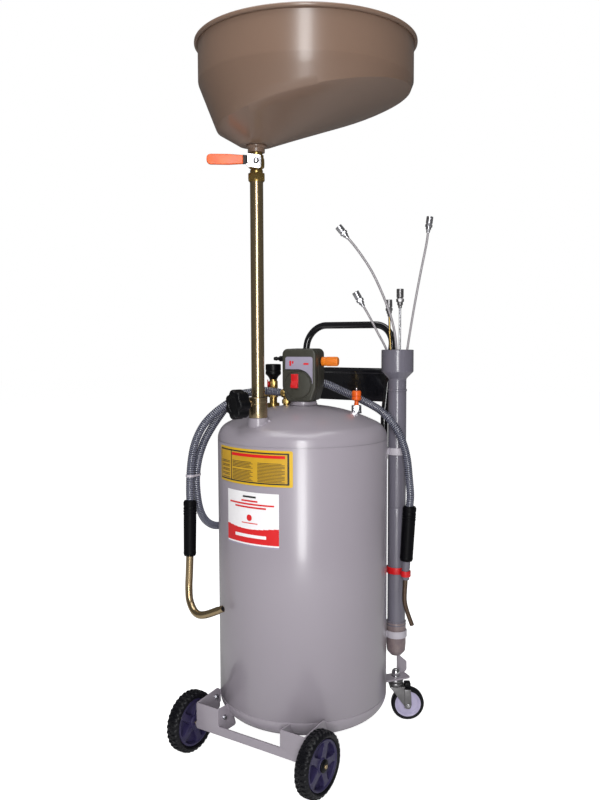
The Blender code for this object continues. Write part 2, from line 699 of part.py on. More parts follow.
def make_gauge():
    place = (GAUGE_X, GAUGE_Y, 0)
    base = dome_height(GAUGE_X, GAUGE_Y) + 0.0025
    tee = [
        (0, GAUGE_BOTTOM - GAP), (0.0080, GAUGE_BOTTOM - GAP), (0.0080, 0.8700), (0.0105, 0.8680),
        (0.0105, 0.8440), (0.0125, 0.8420), (0.0125, 0.8240), (0.0095, 0.8220), (0.0095, 0.8120),
        (0.0140, 0.8100), (0.0140, base), (0, base),
    ]
    tee_obj = add("gauge_tee", turned("gauge_tee", tee, 24, closed=False), BRASS, place)
    start = Vector(RETURN_ROUTE[0])
    branch = start - Vector(RETURN_ROUTE[1])
    arm = turned("tee_branch", rod(0.0068, GAP, 0.034), 16, closed=False)
    combine(tee_obj, helper(arm, start, branch.to_track_quat("Z", "Y").to_euler()), "UNION")
    hole = turned("cock_hole", rod(0.0038, 0.0060, 0.0300), 16, closed=False)
    aim = (0, -math.pi / 2, POST_YAW)
    combine(tee_obj, helper(hole, (GAUGE_X, GAUGE_Y, COCK_Z), aim), "DIFFERENCE")
    case = [
        (0, GAUGE_TOP - 0.0040), (GAUGE_R - 0.003, GAUGE_TOP - 0.0040), (GAUGE_R - 0.002, GAUGE_TOP),
        (GAUGE_R, GAUGE_TOP - 0.0015), (GAUGE_R, GAUGE_BOTTOM + 0.006), (GAUGE_R - 0.006, GAUGE_BOTTOM),
        (0, GAUGE_BOTTOM),
    ]
    case_obj = add("gauge_case", turned("gauge_case", case, 24, closed=False), BLACK_PLASTIC, place)
    pin_hole = turned("needle_hole", rod(0.0012, GAUGE_TOP - 0.008, GAUGE_TOP), 12, closed=False)
    combine(case_obj, helper(pin_hole, place), "DIFFERENCE")
    hand = [(-0.004, -0.0009, 0), (0.012, -0.0003, 0), (0.012, 0.0003, 0), (-0.004, 0.0009, 0)]
    needle = extruded("gauge_needle", hand, (0, 0, 0.0006))
    needle_obj = add("gauge_needle", needle, RED_PLASTIC, (GAUGE_X, GAUGE_Y, GAUGE_TOP - 0.0034), (0, 0, 2.2))
    pin = turned("needle_pin", rod(0.0009, -0.0030, 0.0010), 12, closed=False)
    combine(needle_obj, helper(pin, (GAUGE_X, GAUGE_Y, GAUGE_TOP - 0.0034)), "UNION")
    lever = [
        circle(0.0035, 0.0072, 12),
        circle(0.0035, 0.0110, 12),
        circle(0.0075, 0.0110, 12),
        circle(0.0075, 0.0150, 12),
    ]
    handle = add("cock_handle", lofted("cock_handle", lever), RED_PLASTIC, (GAUGE_X, GAUGE_Y, COCK_Z), aim)
    blade = block("cock_blade", (-0.0115, -0.0040, 0.0125), (0.0115, 0.0040, 0.0148))
    combine(handle, helper(blade, (GAUGE_X, GAUGE_Y, COCK_Z), aim), "UNION")


def make_safety_valve():
    place = (SAFETY_X, SAFETY_Y, 0)
    base = dome_height(SAFETY_X, SAFETY_Y) + 0.0030
    hexagon = [circle(0.0118, base, 6), circle(0.0118, 0.8070, 6)]
    base_obj = add("safety_base", lofted("safety_base", hexagon), BRASS, place)
    neck = turned("safety_neck", rod(0.0052, base + 0.002, 0.8180), 20, closed=False)
    combine(base_obj, helper(neck, place), "UNION")
    well = turned("safety_well", rod(0.0030, 0.8060, 0.8250), 16, closed=False)
    combine(base_obj, helper(well, place), "DIFFERENCE")
    cap = [
        (0, 0.8490), (0.0022, 0.8490), (0.0022, 0.8420), (0.0095, 0.8420), (0.0113, 0.8400), (0.0113, 0.8215),
        (0.0098, 0.8185), (0.0026, 0.8185), (0.0026, 0.8110), (0, 0.8110),
    ]
    add("safety_cap", turned("safety_cap", cap, 24, closed=False), ORANGE_PLASTIC, place)


def make_handle():
    lean = Vector((0, HANDLE_BAR_Y - HANDLE_Y, HANDLE_BAR - HANDLE_KINK)).normalized()
    corner = Vector((HANDLE_HALF, HANDLE_BAR_Y, HANDLE_BAR))
    centre = corner - lean * HANDLE_BEND - Vector((HANDLE_BEND, 0, 0))
    side = [Vector((HANDLE_HALF, HANDLE_Y, HANDLE_FOOT)), Vector((HANDLE_HALF, HANDLE_Y, HANDLE_KINK - 0.012))]
    side.append(Vector((HANDLE_HALF, HANDLE_Y + 0.0008, HANDLE_KINK)))
    side.append(Vector((HANDLE_HALF, HANDLE_Y, HANDLE_KINK)) + lean * 0.014)
    for k in range(9):
        angle = math.pi / 2 * k / 8
        arm = Vector((math.cos(angle), 0, 0)) + lean * math.sin(angle)
        side.append(centre + arm * HANDLE_BEND)
    mirrored = [Vector((-point.x, point.y, point.z)) for point in reversed(side)]
    tube("handle_frame", side + mirrored, HANDLE_R, BLACK_PAINT)


def make_tray():
    low = (-TRAY_HALF, TRAY_FRONT, TRAY_BOTTOM)
    high = (TRAY_HALF, TRAY_BACK, TRAY_TOP)
    tray = add("tool_tray", block("tool_tray", low, high), BLACK_PAINT)
    inner_low = [value + TRAY_SHEET for value in low]
    inner_high = (high[0] - TRAY_SHEET, high[1] - TRAY_SHEET, high[2] + 0.01)
    combine(tray, helper(block("tray_inside", inner_low, inner_high)), "DIFFERENCE")


def make_holder():
    place = (HOLDER_X, HOLDER_Y, 0)
    pipe = ring(PIPE_BORE_R, PIPE_R, PIPE_BOTTOM, NECK_BOTTOM - GAP)
    add("holder_pipe", turned("holder_pipe", pipe, 24), GREY_PVC, place)
    cup = [
        (CUP_R - 0.0030, CUP_TOP), (CUP_R, CUP_TOP),
        (CUP_R, CUP_BOTTOM + 0.010), (CUP_R - 0.004, CUP_BOTTOM + 0.003),
        (PIPE_R, CUP_BOTTOM - 0.004), (PIPE_R - 0.001, NECK_BOTTOM), (PIPE_BORE_R, NECK_BOTTOM),
        (PIPE_BORE_R, CUP_BOTTOM), (CUP_R - 0.0040, CUP_BOTTOM + 0.012),
    ]
    add("holder_cup", turned("holder_cup", cup, 24), GREY_PVC, place)
    cap = [
        (0, CAP_BOTTOM), (0.0110, CAP_BOTTOM + 0.0020),
        (0.0190, CAP_BOTTOM + 0.0090), (0.0232, CAP_BOTTOM + 0.0220),
        (CAP_R, CAP_TOP - 0.010), (0.0225, CAP_TOP), (PIPE_R + GAP, CAP_TOP), (PIPE_R + GAP, PIPE_BOTTOM - GAP),
        (0.0195, PIPE_BOTTOM - 0.004), (0.0195, CAP_BOTTOM + 0.0220), (0.0150, CAP_BOTTOM + 0.0100),
        (0, CAP_BOTTOM + 0.0030),
    ]
    add("holder_cap", turned("holder_cap", cap, 24, closed=False), CAP_PLASTIC, place)


def clip(name, z, height, hold_r, thick, finish, foot):
    """A ring round the holder pipe with a foot on the tank, or an arm with a second ring."""
    place = (HOLDER_X, HOLDER_Y, z)
    band = ring(hold_r, hold_r + thick, -height / 2, height / 2)
    obj = add(name, turned(name, band, 24), finish, place)
    combine(obj, foot, "UNION")
    return obj


def make_clips():
    towards = math.atan2(-HOLDER_Y, -HOLDER_X)
    distance = math.hypot(HOLDER_X, HOLDER_Y) - TANK_R
    for name, z, hold_r in CLIPS:
        foot = block(f"{name}_foot", (hold_r + 0.0005, -0.012, -0.0085), (distance - 0.0006, 0.012, 0.0085))
        foot_obj = helper(foot, (HOLDER_X, HOLDER_Y, z), (0, 0, towards))
        clip(name, z, 0.0170, hold_r, 0.0020, WHITE_PLASTIC, foot_obj)
    start, end = (Vector(point) for point in RIGHT_WAND[:2])
    share = (start.z - WAND_CLIP_Z) / (start.z - end.z)
    wand = start.lerp(end, share)
    arm = Vector((wand.x - HOLDER_X, wand.y - HOLDER_Y, 0))
    heading = math.atan2(arm.y, arm.x)
    bar = block("wand_clip_arm", (PIPE_R + 0.0008, -0.004, -0.0065), (arm.length - 0.0100, 0.004, 0.0065))
    obj = clip("wand_clip", WAND_CLIP_Z, 0.0160, PIPE_R + GAP, 0.0020, RED_PLASTIC,
               helper(bar, (HOLDER_X, HOLDER_Y, WAND_CLIP_Z), (0, 0, heading)))
    loop = turned("wand_clip_loop", ring(0.0096, 0.0122, -0.0065, 0.0065), 24)
    combine(obj, helper(loop, (wand.x, wand.y, WAND_CLIP_Z)), "UNION")


def make_probes():
    """Each probe is one crimped assembly: a round fitting on a bent suction tube."""
    for name, tube_r, fitting_r, length, points in PROBES:
        foot = (points[-1][0], points[-1][1], PROBE_FOOT)
        route = smooth_route(points, 0.035) + [Vector(foot)]
        tip, following = Vector(points[0]), Vector(points[1])
        heading = (tip - following).normalized()
        sides = 10
        rings = []
        for radius, along in ((fitting_r, length), (fitting_r, 0.004), (tube_r + 0.001, 0.0)):
            rings.append((radius, tip + heading * along, heading))
        for i, point in enumerate(route[1:], 1):
            beyond = route[min(i + 1, len(route) - 1)]
            rings.append((tube_r, point, (route[i - 1] - beyond).normalized()))
        loops = []
        for radius, centre, axis in rings:
            across = axis.cross(Vector((0, 1, 0))).normalized()
            upward = axis.cross(across)
            turns = [math.tau * k / sides for k in range(sides)]
            loops.append([centre + radius * (math.cos(a) * across + math.sin(a) * upward) for a in turns])
        origin = Vector(foot)
        loops = [[point - origin for point in loop] for loop in loops]
        add(name, lofted(name, loops), ZINC, foot)


def make_axle_bracket():
    sheet = PLATE_SHEET
    front = [
        (-PLATE_OUT, PLATE_LOW), (PLATE_OUT, PLATE_LOW), (PLATE_OUT, PLATE_HIGH), (PLATE_IN, PLATE_HIGH),
        (PLATE_IN, STRIP_HIGH), (-PLATE_IN, STRIP_HIGH), (-PLATE_IN, PLATE_HIGH), (-PLATE_OUT, PLATE_HIGH),
    ]
    outline = [(x, PLATE_Y - sheet / 2, z) for x, z in front]
    bracket = add("axle_bracket", extruded("axle_bracket", outline, (0, sheet, 0)), GREY_PAINT)
    back_out = -math.sqrt((TANK_R + TANK_CLEAR) ** 2 - (PLATE_OUT - sheet) ** 2)
    under = []
    for k in range(6):
        angle = math.radians(60) * k / 5
        reach = TANK_R - KNUCKLE_R + (KNUCKLE_R + TANK_CLEAR) * math.cos(angle)
        drop = (KNUCKLE_R + TANK_CLEAR) * math.sin(angle)
        under.append((-math.sqrt(reach ** 2 - PLATE_IN ** 2), SEAM_LOW - drop))
    inner = [(PLATE_Y, PLATE_LOW), (PLATE_Y, PLATE_HIGH)] + under + [(-0.1500, PLATE_LOW + 0.002)]
    outer = rounded_outline([
        (PLATE_Y, PLATE_LOW, 0.0), (PLATE_Y, PLATE_HIGH, 0.0), (back_out, WING_HIGH, 0.010),
        (back_out, PLATE_LOW + 0.020, 0.010),
    ], 3)
    for side in (-1, 1):
        x = PLATE_IN if side > 0 else -PLATE_IN - sheet
        flange = extruded(f"inner_flange_{side}", [(x, y, z) for y, z in inner], (sheet, 0, 0))
        combine(bracket, helper(flange), "UNION")
        x = PLATE_OUT - sheet if side > 0 else -PLATE_OUT
        wing = extruded(f"outer_flange_{side}", [(x, y, z) for y, z in outer], (sheet, 0, 0))
        combine(bracket, helper(wing), "UNION")
    sleeve = turned("axle_sleeve", rod(AXLE_TUBE_R, -AXLE_TUBE_END, AXLE_TUBE_END), 20, closed=False)
    combine(bracket, helper(sleeve, (0, AXLE_Y, WHEEL_R), (0, math.pi / 2, 0)), "UNION")
    bore = turned("axle_bore", rod(AXLE_R + GAP, -0.17, 0.17), 20, closed=False)
    combine(bracket, helper(bore, (0, AXLE_Y, WHEEL_R), (0, math.pi / 2, 0)), "DIFFERENCE")
    axle = turned("axle_rod", rod(AXLE_R, -0.2010, 0.2010), 20, closed=False)
    add("axle_rod", axle, ZINC, (0, AXLE_Y, WHEEL_R), (0, math.pi / 2, 0))


def make_wheels():
    """Each wheel turns about its own Z, which lies along the axle and points outwards."""
    half = TYRE_WIDTH / 2
    tyre = [
        (RIM_R + GAP, -half + 0.005), (WHEEL_R - 0.010, -half), (WHEEL_R - 0.0025, -half + 0.004),
        (WHEEL_R, -half + 0.010), (WHEEL_R, half - 0.010), (WHEEL_R - 0.0025, half - 0.004),
        (WHEEL_R - 0.010, half), (RIM_R + GAP, half - 0.005),
    ]
    hub = [
        (AXLE_R + GAP, -half), (0.0130, -half), (0.0150, -0.0060), (0.0470, -0.0060), (0.0500, -half + 0.005),
        (RIM_R, -half + 0.005), (RIM_R, half - 0.005), (0.0500, half - 0.005), (0.0470, 0.0060),
        (0.0150, 0.0060), (0.0130, half), (AXLE_R + GAP, half),
    ]
    for name, side in (("left", -1), ("right", 1)):
        place = (side * WHEEL_X, AXLE_Y, WHEEL_R)
        turn = (0, side * math.pi / 2, 0)
        add(f"tyre_{name}", turned(f"tyre_{name}", tyre[::-1], 36), RUBBER, place, turn)
        add(f"wheel_hub_{name}", turned(f"wheel_hub_{name}", hub, 24), PURPLE_PLASTIC, place, turn)


def make_casters():
    """The fork swivels about the vertical kingpin, and the wheel trails behind it."""
    wheel = [
        (0, -CASTER_WIDTH / 2), (0.0120, -CASTER_WIDTH / 2), (0.0130, -0.0070), (0.0300, -0.0070),
        (0.0310, -0.0100), (CASTER_R - 0.003, -0.0110), (CASTER_R, -0.0060), (CASTER_R, 0.0060),
        (CASTER_R - 0.003, 0.0110), (0.0310, 0.0100), (0.0300, 0.0070), (0.0130, 0.0070),
        (0.0120, CASTER_WIDTH / 2), (0, CASTER_WIDTH / 2),
    ]
    leg_y = CASTER_WIDTH / 2 + 0.0015
    fork_side = rounded_outline([
        (-0.0160, CROWN_Z, 0.0), (0.0220, CROWN_Z, 0.0), (CASTER_TRAIL + 0.0100, CASTER_R, 0.008),
        (CASTER_TRAIL - 0.0010, CASTER_R - 0.010, 0.008), (CASTER_TRAIL - 0.0120, CASTER_R, 0.004),
    ], 3)
    for name, side in (("left", -1), ("right", 1)):
        stem = (side * CASTER_X, CASTER_Y, 0)
        outward = math.atan2(CASTER_Y, side * CASTER_X)
        reach = math.hypot(CASTER_X, CASTER_Y) - TANK_R

        shelf_low = (-reach + 0.0012, -0.0200, SHELF_Z)
        shelf_high = (SHELF_END, 0.0200, SHELF_Z + SHELF_SHEET)
        shelf = block(f"caster_bracket_{name}", shelf_low, shelf_high)
        bracket = add(f"caster_bracket_{name}", shelf, GREY_PAINT, stem, (0, 0, outward))
        far = 0.0170 if side > 0 else -0.0200
        wing = [
            (WING_NEAR, far, SHELF_Z), (SHELF_END, far, SHELF_Z), (WING_END, far, SHELF_Z + 0.008),
            (WING_END, far, SHELF_Z + 0.030), (WING_NEAR + 0.0060, far, SHELF_Z + 0.050),
            (WING_NEAR, far, SHELF_Z + 0.050),
        ]
        wing_mesh = extruded(f"caster_wing_{name}", wing, (0, WING_SHEET, 0))
        combine(bracket, helper(wing_mesh, stem, (0, 0, outward)), "UNION")
        pad_low = (-reach + 0.0012, -0.0200, SHELF_Z - 0.008)
        pad = block(f"caster_pad_{name}", pad_low, (-reach + 0.0045, 0.0200, SHELF_Z + 0.028))
        combine(bracket, helper(pad, stem, (0, 0, outward)), "UNION")
        hole = turned(f"kingpin_hole_{name}", rod(0.0050 + GAP, SHELF_Z - 0.01, SHELF_Z + 0.02), 16, closed=False)
        combine(bracket, helper(hole, stem), "DIFFERENCE")

        crown_low = (-0.0160, -leg_y - 0.0025, CROWN_Z - 0.003)
        crown = block(f"caster_fork_{name}", crown_low, (0.0220, leg_y + 0.0025, CROWN_Z))
        fork = add(f"caster_fork_{name}", crown, ZINC, stem, (0, 0, CASTER_YAW))
        for way in (-1, 1):
            start = leg_y if way > 0 else -leg_y - 0.0025
            leg = extruded(f"fork_leg_{name}_{way}", [(x, start, z) for x, z in fork_side], (0, 0.0025, 0))
            combine(fork, helper(leg, stem, (0, 0, CASTER_YAW)), "UNION")
        kingpin = [
            (0, 0.1380), (0.0060, 0.1380), (0.0085, 0.1330), (0.0085, 0.1130), (0.0050, 0.1120),
            (0.0050, RACE_TOP), (0.0170, RACE_TOP), (0.0190, 0.1020), (0.0160, 0.0980),
            (0.0190, 0.0940), (0.0150, CROWN_Z - 0.001),
            (0, CROWN_Z - 0.001),
        ]
        race = turned(f"kingpin_{name}", kingpin, 24, closed=False)
        combine(fork, helper(race, stem, (0, 0, CASTER_YAW)), "UNION")
        axle = turned(f"caster_axle_{name}", rod(0.0035, -leg_y - 0.0040, leg_y + 0.0040), 16, closed=False)
        ahead = Vector((math.cos(CASTER_YAW), math.sin(CASTER_YAW), 0)) * CASTER_TRAIL
        centre = Vector(stem) + ahead + Vector((0, 0, CASTER_R))
        combine(fork, helper(axle, centre, (math.pi / 2, 0, CASTER_YAW)), "UNION")
        wheel_obj = add(f"caster_wheel_{name}", turned(f"caster_wheel_{name}", wheel[::-1], 24, closed=False),
                        LILAC_PLASTIC, centre, (math.pi / 2, 0, CASTER_YAW))
        bore = turned(f"caster_bore_{name}", rod(0.0035 + GAP, -0.02, 0.02), 16, closed=False)
        combine(wheel_obj, helper(bore, centre, (math.pi / 2, 0, CASTER_YAW)), "DIFFERENCE")


def make_hoses():
    for name, points in (
        ("discharge_hose", DISCHARGE_ROUTE),
        ("return_hose", RETURN_ROUTE),
        ("suction_hose", SUCTION_ROUTE),
    ):
        tube(name, smooth_route(points, 0.030), HOSE_R, HOSE_PVC)
    start = Vector(RETURN_ROUTE[-1])
    ahead = (start - Vector(RETURN_ROUTE[-2])).normalized()
    bend = start + ahead * 0.022
    inward = Vector((-bend.x, -bend.y, 0)).normalized()
    wall = bend + inward * (math.hypot(bend.x, bend.y) - TANK_R - 0.0012)
    tube("rear_elbow", [start + ahead * GAP, bend, wall], 0.0080, BRASS)


def make_wands():
    for name, (top, bottom), radius in (
        ("discharge_grip", LEFT_GRIP, 0.0155),
        ("suction_grip", RIGHT_GRIP, 0.0163),
    ):
        high, low = Vector(top), Vector(bottom)
        length = (high - low).length
        profile = [
            (0, length), (radius - 0.002, length), (radius, length - 0.003), (radius, length - 0.020),
            (radius - 0.0008, length - 0.030), (radius - 0.0008, 0.006), (radius - 0.003, 0), (0, 0),
        ]
        aim = (high - low).to_track_quat("Z", "Y").to_euler()
        add(name, turned(name, profile, 24, closed=False), BLACK_PLASTIC, low, aim)
    left = smooth_route(LEFT_WAND, 0.012)
    tube("discharge_spout", left, 0.0088, YELLOW_ZINC)
    right = smooth_route(RIGHT_WAND, 0.014)
    tube("suction_spout", right, 0.0060, ZINC)


def main():
    clear_scene()
    frame = bpy.data.objects.new("frame", None)
    frame.location = (FRAME_X, FRAME_Y, 0)
    bpy.context.scene.collection.objects.link(frame)
    make_tank()
    make_guide()
    make_star_knob()
    make_post()
    make_valve_lever()
    make_pan()
    make_suction_head()
    make_gauge()
    make_safety_valve()
    make_handle()
    make_tray()
    make_holder()
    make_clips()
    make_probes()
    make_axle_bracket()
    make_wheels()
    make_casters()
    make_hoses()
    make_wands()


main()
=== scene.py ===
"""Looks of the wheeled waste-oil drainer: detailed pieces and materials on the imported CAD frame.

Lengths are in metres. Places are given from the tank's axis on the floor, which is found from
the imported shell; +X is the right-hand wheel, -Y the wheeled front and +Y the handle.
"""

import math

import bmesh
import bpy
from mathutils import Matrix, Vector


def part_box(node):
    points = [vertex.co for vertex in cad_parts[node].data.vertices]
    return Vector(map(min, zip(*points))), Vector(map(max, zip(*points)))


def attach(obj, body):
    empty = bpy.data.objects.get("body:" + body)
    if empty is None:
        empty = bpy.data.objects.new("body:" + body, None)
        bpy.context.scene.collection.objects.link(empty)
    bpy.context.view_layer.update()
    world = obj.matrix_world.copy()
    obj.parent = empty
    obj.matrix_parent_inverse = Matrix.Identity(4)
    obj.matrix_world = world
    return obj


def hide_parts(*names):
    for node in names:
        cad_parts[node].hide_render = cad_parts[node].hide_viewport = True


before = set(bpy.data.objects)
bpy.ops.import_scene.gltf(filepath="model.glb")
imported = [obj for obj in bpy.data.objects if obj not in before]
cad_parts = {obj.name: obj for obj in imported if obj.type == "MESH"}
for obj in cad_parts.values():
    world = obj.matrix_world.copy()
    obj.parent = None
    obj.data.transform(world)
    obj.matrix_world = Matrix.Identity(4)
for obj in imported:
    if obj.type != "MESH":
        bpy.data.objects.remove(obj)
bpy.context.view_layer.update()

SHELL_LOW, SHELL_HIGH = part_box("tank_shell")
AXIS = Vector(((SHELL_LOW.x + SHELL_HIGH.x) / 2, (SHELL_LOW.y + SHELL_HIGH.y) / 2, 0))
TANK_R = (SHELL_HIGH.x - SHELL_LOW.x) / 2
SEAM_LOW, SEAM_TOP = SHELL_LOW.z, SHELL_HIGH.z
CROWN_R = 2 * TANK_R
KNUCKLE_R = 0.2 * TANK_R


def centre(node):
    """The middle of a node's box, from the tank's axis."""
    low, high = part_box(node)
    return (low + high) / 2 - AXIS


def span(node):
    """A node's lowest and highest point."""
    low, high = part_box(node)
    return low.z, high.z


# Places and turns that several pieces share
POST = centre("drain_tube")
POST_R = 0.0145
POST_YAW = math.radians(36.4)
CLAMP_YAW = math.radians(-20)
HEAD_YAW = math.radians(17)
HEAD = centre("head_socket")
SAFETY = centre("safety_cap")
GAUGE = centre("gauge_case")
HOLDER = centre("holder_pipe")
ROCKER_X = -0.0085
VALVE_Z = 1.348
COCK_Z = 0.856
# Casters: the way they point, how far each wheel trails its stem, and the shelf that holds the stem
CASTER_YAW = math.radians(35)
CASTER_TRAIL = 0.03
CASTER_R = 0.0415
SHELF_Z = 0.1073
SHELF_SHEET = 0.004

# Studio: how bright the floor looks by itself, the room round it, the camera from the tank's axis,
# and each area light as (name, place, aimed at, size, watts)
FLOOR_GLOW = 0.9
ROOM_LIGHT = 0.12
CAMERA_PLACE = Vector((1.1352, -1.6378, 0.9712))
CAMERA_YAW, CAMERA_TILT, CAMERA_ROLL = (math.radians(turn) for turn in (34.887, 85.708, -0.2))
CAMERA_LENS = 38.03
LIGHTS = (
    ("key", (1.75, -2.6, 1.5), (0, 0, 0.85), (0.6, 2.8), 78),
    ("top", (0.1, -0.4, 3.2), (0, 0, 0.8), (2.2, 2.2), 56),
)


# ---------------------------------------------------------------- placing

def place(x=0.0, y=0.0, z=0.0, rx=0.0, ry=0.0, rz=0.0):
    turn = Matrix.Rotation(rz, 4, "Z") @ Matrix.Rotation(ry, 4, "Y") @ Matrix.Rotation(rx, 4, "X")
    return Matrix.Translation((x, y, z)) @ turn


def along(start, direction):
    """A placement whose Z axis runs from start in the given direction."""
    turn = Vector(direction).to_track_quat("Z", "Y").to_matrix().to_4x4()
    return Matrix.Translation(start) @ turn


FRONT = Matrix.Rotation(math.pi / 2, 4, "X")
HEAD_AT = place(HEAD.x, HEAD.y, 0, rz=HEAD_YAW)
PAN_AT = place(POST.x, POST.y, 0, rz=POST_YAW)


# ---------------------------------------------------------------- meshes

def rounded(corners, steps=5, closed=True):
    """Points of an outline of (x, y, fillet radius) corners; an open one keeps its two ends."""
    points = []
    count = len(corners)
    for i, (x, y, radius) in enumerate(corners):
        here = Vector((x, y))
        if radius == 0 or (not closed and i in (0, count - 1)):
            points.append((x, y))
            continue
        before = (Vector(corners[i - 1][:2]) - here).normalized()
        after = (Vector(corners[(i + 1) % count][:2]) - here).normalized()
        half = before.angle(after) / 2
        start = here + before * radius / math.tan(half)
        middle = here + (before + after).normalized() * radius / math.sin(half)
        sweep = math.pi - 2 * half
        arm = start - middle
        way = 1 if before.x * after.y - before.y * after.x < 0 else -1
        for k in range(steps + 1):
            c, s = math.cos(way * sweep * k / steps), math.sin(way * sweep * k / steps)
            points.append((middle.x + c * arm.x - s * arm.y, middle.y + s * arm.x + c * arm.y))
    return points


def lathe(corners, sides=72, at=Matrix(), steps=4):
    """A solid turned about Z from (radius, height, fillet) corners."""
    corners = [corner if len(corner) == 3 else (*corner, 0.0) for corner in corners]
    solid = corners[0][0] == 0 and corners[-1][0] == 0
    outline = rounded(corners, steps, closed=not solid)
    bm = bmesh.new()
    points = [bm.verts.new((r, 0, z)) for r, z in outline]
    pairs = list(zip(points, points[1:]))
    if not solid:
        pairs.append((points[-1], points[0]))
    edges = [bm.edges.new(pair) for pair in pairs]
    bmesh.ops.spin(bm, geom=points + edges, cent=(0, 0, 0), axis=(0, 0, 1), angle=math.tau,
                   steps=sides, use_merge=True)
    bmesh.ops.remove_doubles(bm, verts=bm.verts, dist=1e-7)
    bm.transform(at)
    return bm


def loft(rings, at=Matrix(), loop=False):
    """A solid through rings of equal length, capped at both ends or closed into a loop."""
    bm = bmesh.new()
    made = [[bm.verts.new(point) for point in ring] for ring in rings]
    pairs = list(zip(made, made[1:]))
    if loop:
        pairs.append((made[-1], made[0]))
    for lower, upper in pairs:
        count = len(lower)
        for i in range(count):
            bm.faces.new((lower[i], lower[(i + 1) % count], upper[(i + 1) % count], upper[i]))
    if not loop:
        bm.faces.new(made[0])
        bm.faces.new(made[-1])
    bm.transform(at)
    return bm


def prism(outline, depth, at=Matrix(), bevel=0.0, segments=3):
    """An outline in XY raised along Z, with its two rims bevelled."""
    bm = bmesh.new()
    face = bm.faces.new([bm.verts.new((x, y, 0)) for x, y in outline])
    made = bmesh.ops.extrude_face_region(bm, geom=[face])
    raised = [item for item in made["geom"] if isinstance(item, bmesh.types.BMVert)]
    bmesh.ops.translate(bm, verts=raised, vec=(0, 0, depth))
    bmesh.ops.recalc_face_normals(bm, faces=bm.faces)
    if bevel:
        rims = {edge for f in bm.faces if abs(f.normal.z) > 0.99 for edge in f.edges}
        bmesh.ops.bevel(bm, geom=list(rims), offset=bevel, segments=segments, affect="EDGES",
                        profile=0.5, clamp_overlap=True)
    bm.transform(at)
    return bm


def box(low, high, at=Matrix(), bevel=0.0008):
    """A block between two corners with every edge rounded."""
    bm = bmesh.new()
    bmesh.ops.create_cube(bm, size=1.0)
    size = Vector(high) - Vector(low)
    bmesh.ops.scale(bm, verts=bm.verts, vec=size)
    bmesh.ops.translate(bm, verts=bm.verts, vec=(Vector(high) + Vector(low)) / 2)
    bmesh.ops.bevel(bm, geom=list(bm.edges), offset=min(bevel, min(size) * 0.45), segments=3,
                    affect="EDGES", profile=0.5, clamp_overlap=True)
    bm.transform(at)
    return bm


def ring_at(z, reach, sides):
    """A ring of points about Z; reach is a radius or a function of the angle."""
    ring = []
    for k in range(sides):
        angle = math.tau * k / sides
        radius = reach(angle) if callable(reach) else reach
        ring.append((radius * math.cos(angle), radius * math.sin(angle), z))
    return ring


def panel(low, high, corner, steps=5):
    """A rounded rectangle's outline between two corners in XY."""
    return rounded([(low[0], low[1], corner), (high[0], low[1], corner), (high[0], high[1], corner),
                    (low[0], high[1], corner)], steps)


def peg(radius, low, high, soft=0.0, sides=36, at=Matrix(), base=0.0):
    """A round bar along Z with its upper rim rounded by soft and its lower by base."""
    return lathe([(0, low), (radius, low, base), (radius, high, soft), (0, high)], sides, at)


def sleeve(inner, outer, low, high, soft_in, soft_out, sides=72, at=Matrix()):
    """A band about Z with its inner and outer rims rounded."""
    return lathe([(inner, low, soft_in), (outer, low, soft_out), (outer, high, soft_out),
                  (inner, high, soft_in)],
                 sides, at)


def hexagon(across, low, high, at=Matrix(), chamfer=0.12):
    """A hexagonal nut or bar with turned chamfers, `across` its flats."""
    corner = across / math.sqrt(3)
    cut = corner * chamfer * 0.6

    def reach(angle, share):
        flat = across / 2 / math.cos((angle + math.pi / 6) % (math.pi / 3) - math.pi / 6)
        return min(flat, corner * share) if share < 1 else flat

    levels = ((1 - chamfer, low), (1, low + cut), (1, high - cut), (1 - chamfer, high))
    return loft([ring_at(z, lambda angle: reach(angle, share), 60) for share, z in levels], at)


def smooth_route(points, spacing):
    """Points about `spacing` apart on the smooth curve through the given ones."""
    knots = [Vector(point) for point in points]
    knots = [2 * knots[0] - knots[1]] + knots + [2 * knots[-1] - knots[-2]]
    route = [knots[1]]
    for a, b, c, d in zip(knots, knots[1:], knots[2:], knots[3:]):
        steps = max(1, round((c - b).length / spacing))
        for k in range(1, steps + 1):
            t = k / steps
            cubic = (3 * (b - c) + d - a) * t ** 3 + (2 * a - 5 * b + 4 * c - d) * t ** 2
            route.append(b + 0.5 * ((c - a) * t + cubic))
    return route


def sweep(route, radius, sides=24):
    """A round bar along a route; radius is a number or a function of (distance, turn)."""
    reach = radius if callable(radius) else lambda distance, turn: radius
    rings = []
    distance = 0.0
    across = None
    for i, point in enumerate(route):
        before, after = route[max(i - 1, 0)], route[min(i + 1, len(route) - 1)]
        heading = (after - before).normalized()
        if across is None:
            across = heading.orthogonal().normalized()
        across = (across - across.dot(heading) * heading).normalized()
        other = heading.cross(across)
        if i:
            distance += (point - route[i - 1]).length
        ring = []
        for k in range(sides):
            turn = math.tau * k / sides
            r = reach(distance, turn)
            ring.append(point + r * (math.cos(turn) * across + math.sin(turn) * other))
        rings.append(ring)
    return loft(rings)


